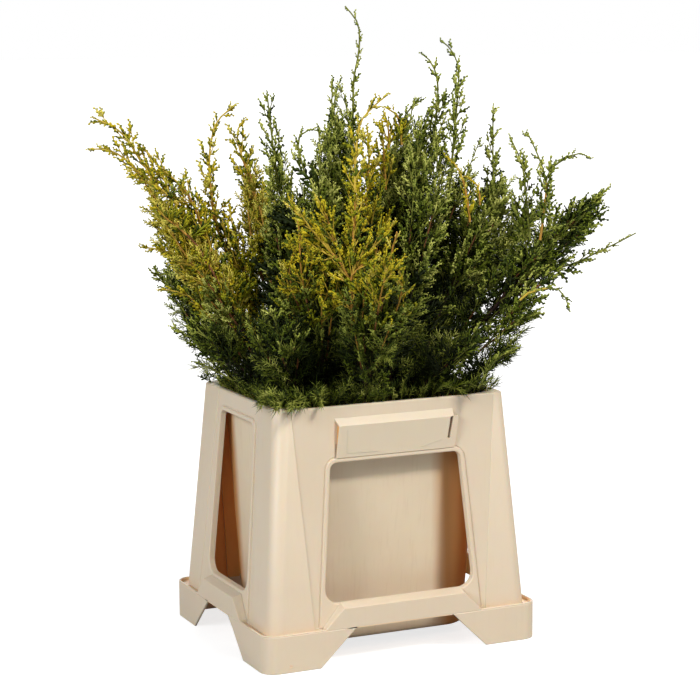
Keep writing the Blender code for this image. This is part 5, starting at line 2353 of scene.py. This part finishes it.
    def build(self) -> None:
        """Turn the beds into pieces and hang them on the frame."""
        self.grow()
        shapes = SprigShapes()
        scale_shapes, needle_shapes = shapes.scale_sprigs(), shapes.needle_sprigs()
        woods = {wood: finish.make(self.groups) for wood, finish in WOOD_FINISHES.items()}
        leaves = {tone: finish.make(self.groups) for tone, (finish, _) in TONE_FINISHES.items()}
        values = {"Sides": 12, "Ring Gap": 0.004, "Relief": 0.0022, "Relief Scale": 380.0,
                  "Material": woods[Wood.OLD]}
        stems = grow_mesh("stems", self.limbs.mesh(), self.trees.limbs, values)
        finish_piece(stems, self.stem_nodes)
        for wood, bed in self.twigs.items():
            values = {"Sides": 3 if wood is Wood.FRESH else 5, "Ring Gap": 0.012, "Material": woods[wood]}
            finish_piece(grow_mesh(bed.name, bed.mesh(), self.trees.limbs, values))
        waiting = {slot: [plume.name for plume in self.plumes if plume.slot is slot] for slot in TONE_LADDERS}
        total = 0
        for beds, sprigs in ((self.scales, scale_shapes), (self.needles, needle_shapes)):
            faces = [len(shape.data.polygons) for shape in sprigs]
            for tone, bed in beds.items():
                slot = TONE_FINISHES[tone][1]
                for number, (first, last) in enumerate(self.shares(bed, faces), 1):
                    values = {"First Sprig": sprigs[0], "Second Sprig": sprigs[1], "Third Sprig": sprigs[2],
                              "Seed": self.seed + number, "Material": leaves[tone],
                              "Shaded Material": leaves[SHADED_TONES[tone]]}
                    name = f"{bed.name}_{number}"
                    piece = grow_mesh(name, bed.mesh(first, last), self.trees.sprigs, values)
                    finish_piece(piece, waiting.pop(slot, ()))
                    total += len(piece.data.polygons)
        LOG.info("foliage: %d faces", total)
        for shape in scale_shapes + needle_shapes:
            bpy.data.objects.remove(shape, do_unlink=True)

    def shares(self, bed: SprigBed, faces: list[int]) -> list[tuple[int, int]]:
        """Split a bed into runs of sprigs that each stay under the limit of faces.

        Args:
            bed: the bed.
            faces: how many faces each kind of sprig has.

        Returns:
            The number of each run's first sprig, and the one after its last.
        """
        runs, first, total = [], 0, 0
        for i, kind in enumerate(bed.kinds):
            total += faces[kind]
            if total > self.piece_limit:
                runs.append((first, i))
                first, total = i, faces[kind]
        if first < len(bed.kinds):
            runs.append((first, len(bed.kinds)))
        return runs


@dataclass(frozen=True)
class Sun:
    """A broad, even light.

    Its direction runs from the object to the light. Its spread is its width in degrees, and wider
    is softer.
    """

    name: str
    towards: tuple[float, float, float]
    spread: float
    strength: float
    colour: Colour

    def light(self) -> None:
        """Hang the light."""
        data = bpy.data.lights.new(self.name, "SUN")
        data.angle = math.radians(self.spread)
        data.energy = self.strength
        data.color = self.colour
        light = place_object(self.name, data)
        light.location = Vector(self.towards) * 3
        light.rotation_euler = Vector(self.towards).to_track_quat("Z", "Y").to_euler()


SUNS = (
    Sun("key_light", (0.42, -0.75, 0.92), 9.0, 2.30, (1.0, 0.97, 0.93)),
    Sun("fill_light", (-0.90, -0.40, 0.50), 22.0, 1.80, (0.95, 0.97, 1.0)),
    Sun("back_light", (0.35, 0.85, 0.60), 30.0, 0.80, (1.0, 1.0, 1.0)),
)


@dataclass
class Studio:
    """The camera, the floor and the soft lights."""

    view: Viewpoint = field(default_factory=Viewpoint)
    floor_half: float = 60.0
    floor_colour: Colour = (0.45, 0.45, 0.45)
    floor_roughness: float = 0.9
    floor_glow: float = 0.76
    sky_colour: Colour = (0.99, 0.99, 1.0)
    sky_strength: float = 0.26

    def build(self) -> None:
        """Set the camera, the floor, the lights and the backdrop's colour."""
        self.set_camera()
        self.lay_floor()
        for sun in SUNS:
            sun.light()
        self.colour_backdrop()
        bpy.context.scene.view_settings.view_transform = "Standard"

    def set_camera(self) -> None:
        """Stand the camera where the photograph was taken from."""
        view = self.view
        data = bpy.data.cameras.new("camera")
        data.sensor_width = view.sensor
        data.lens = view.lens
        data.clip_start, data.clip_end = 0.05, 200.0
        camera = place_object("camera", data)
        turn = Matrix((view.right, view.up, view.back)).transposed().to_4x4()
        camera.matrix_world = Matrix.Translation(view.eye) @ turn
        bpy.context.scene.camera = camera

    def lay_floor(self) -> None:
        """Lay a plain pale floor, which glows only to the camera."""
        half = self.floor_half
        corners = [(-half, -half, 0), (half, -half, 0), (half, half, 0), (-half, half, 0)]
        data = bpy.data.meshes.new("floor")
        data.from_pydata(corners, [], [(0, 1, 2, 3)])
        material = bpy.data.materials.new("floor_paint")
        material.use_nodes = True
        wiring = Wiring(material.node_tree)
        seen = wiring.add("ShaderNodeLightPath").outputs["Is Camera Ray"]
        wiring.feed(material.node_tree.nodes["Principled BSDF"], {
            "Base Color": (*self.floor_colour, 1.0), "Roughness": self.floor_roughness,
            "Emission Color": (1.0, 1.0, 1.0, 1.0),
            "Emission Strength": wiring.calculate("MULTIPLY", seen, self.floor_glow)})
        data.materials.append(material)
        floor = place_object("floor", data)

    def colour_backdrop(self) -> None:
        """Make the surroundings white to look at, and a softer white as light."""
        world = bpy.data.worlds.new("studio")
        world.use_nodes = True
        bpy.context.scene.world = world
        world.node_tree.nodes.clear()
        wiring = Wiring(world.node_tree)
        white = {"Color": (1.0, 1.0, 1.0, 1.0), "Strength": 1.0}
        soft = {"Color": (*self.sky_colour, 1.0), "Strength": self.sky_strength}
        mix = wiring.add("ShaderNodeMixShader", {
            "Fac": wiring.add("ShaderNodeLightPath").outputs["Is Camera Ray"],
            "Shader": wiring.add("ShaderNodeBackground", soft).outputs[0],
            "Shader_001": wiring.add("ShaderNodeBackground", white).outputs[0]})
        wiring.add("ShaderNodeOutputWorld", {"Surface": mix.outputs[0]})


def write_sizes() -> None:
    """Update the view layer; no sizes are written."""
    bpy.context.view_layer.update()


def main() -> None:
    """Build the studio, the container and the juniper."""
    logging.basicConfig(level=logging.INFO, format="%(message)s")
    Studio().build()
    groups = ShaderGroups()
    mould = Mould.from_frame()
    cream = PlasticFinish("cream_plastic", (0.71, 0.595, 0.445), (0.62, 0.49, 0.33)).make(groups)
    # The bucket's finish carries painted warm light and shade near two corners.
    inner = PlasticFinish("bucket_plastic", (0.76, 0.635, 0.460), (0.60, 0.46, 0.30), wear=0.2, roughness=0.5,
                          corner_colour=(0.80, 0.40, 0.14)).make(groups)
    # Painted warm glow inside the gutters, for light that comes through their thin wall.
    warm = PlasticFinish("gutter_plastic", (0.84, 0.60, 0.38), (0.74, 0.48, 0.28)).make(groups)
    # Painted light and shade for the faces inside the skirt and for the card holder's cheek.
    painted_inner_glow = PlasticFinish("skirt_lining", (0.80, 0.40, 0.12), (0.66, 0.29, 0.08), wear=0.2,
                           roughness=0.5).make(groups)
    Bucket(mould, inner).build()
    Skirt(mould, cream, painted_inner_glow).build()
    FootBand(mould, cream, warm).build()
    CardHolder(mould, cream, painted_inner_glow).build()
    Juniper(GrowthTrees(), groups, mould).build()
    write_sizes()


if __name__ == "__main__":
    main()
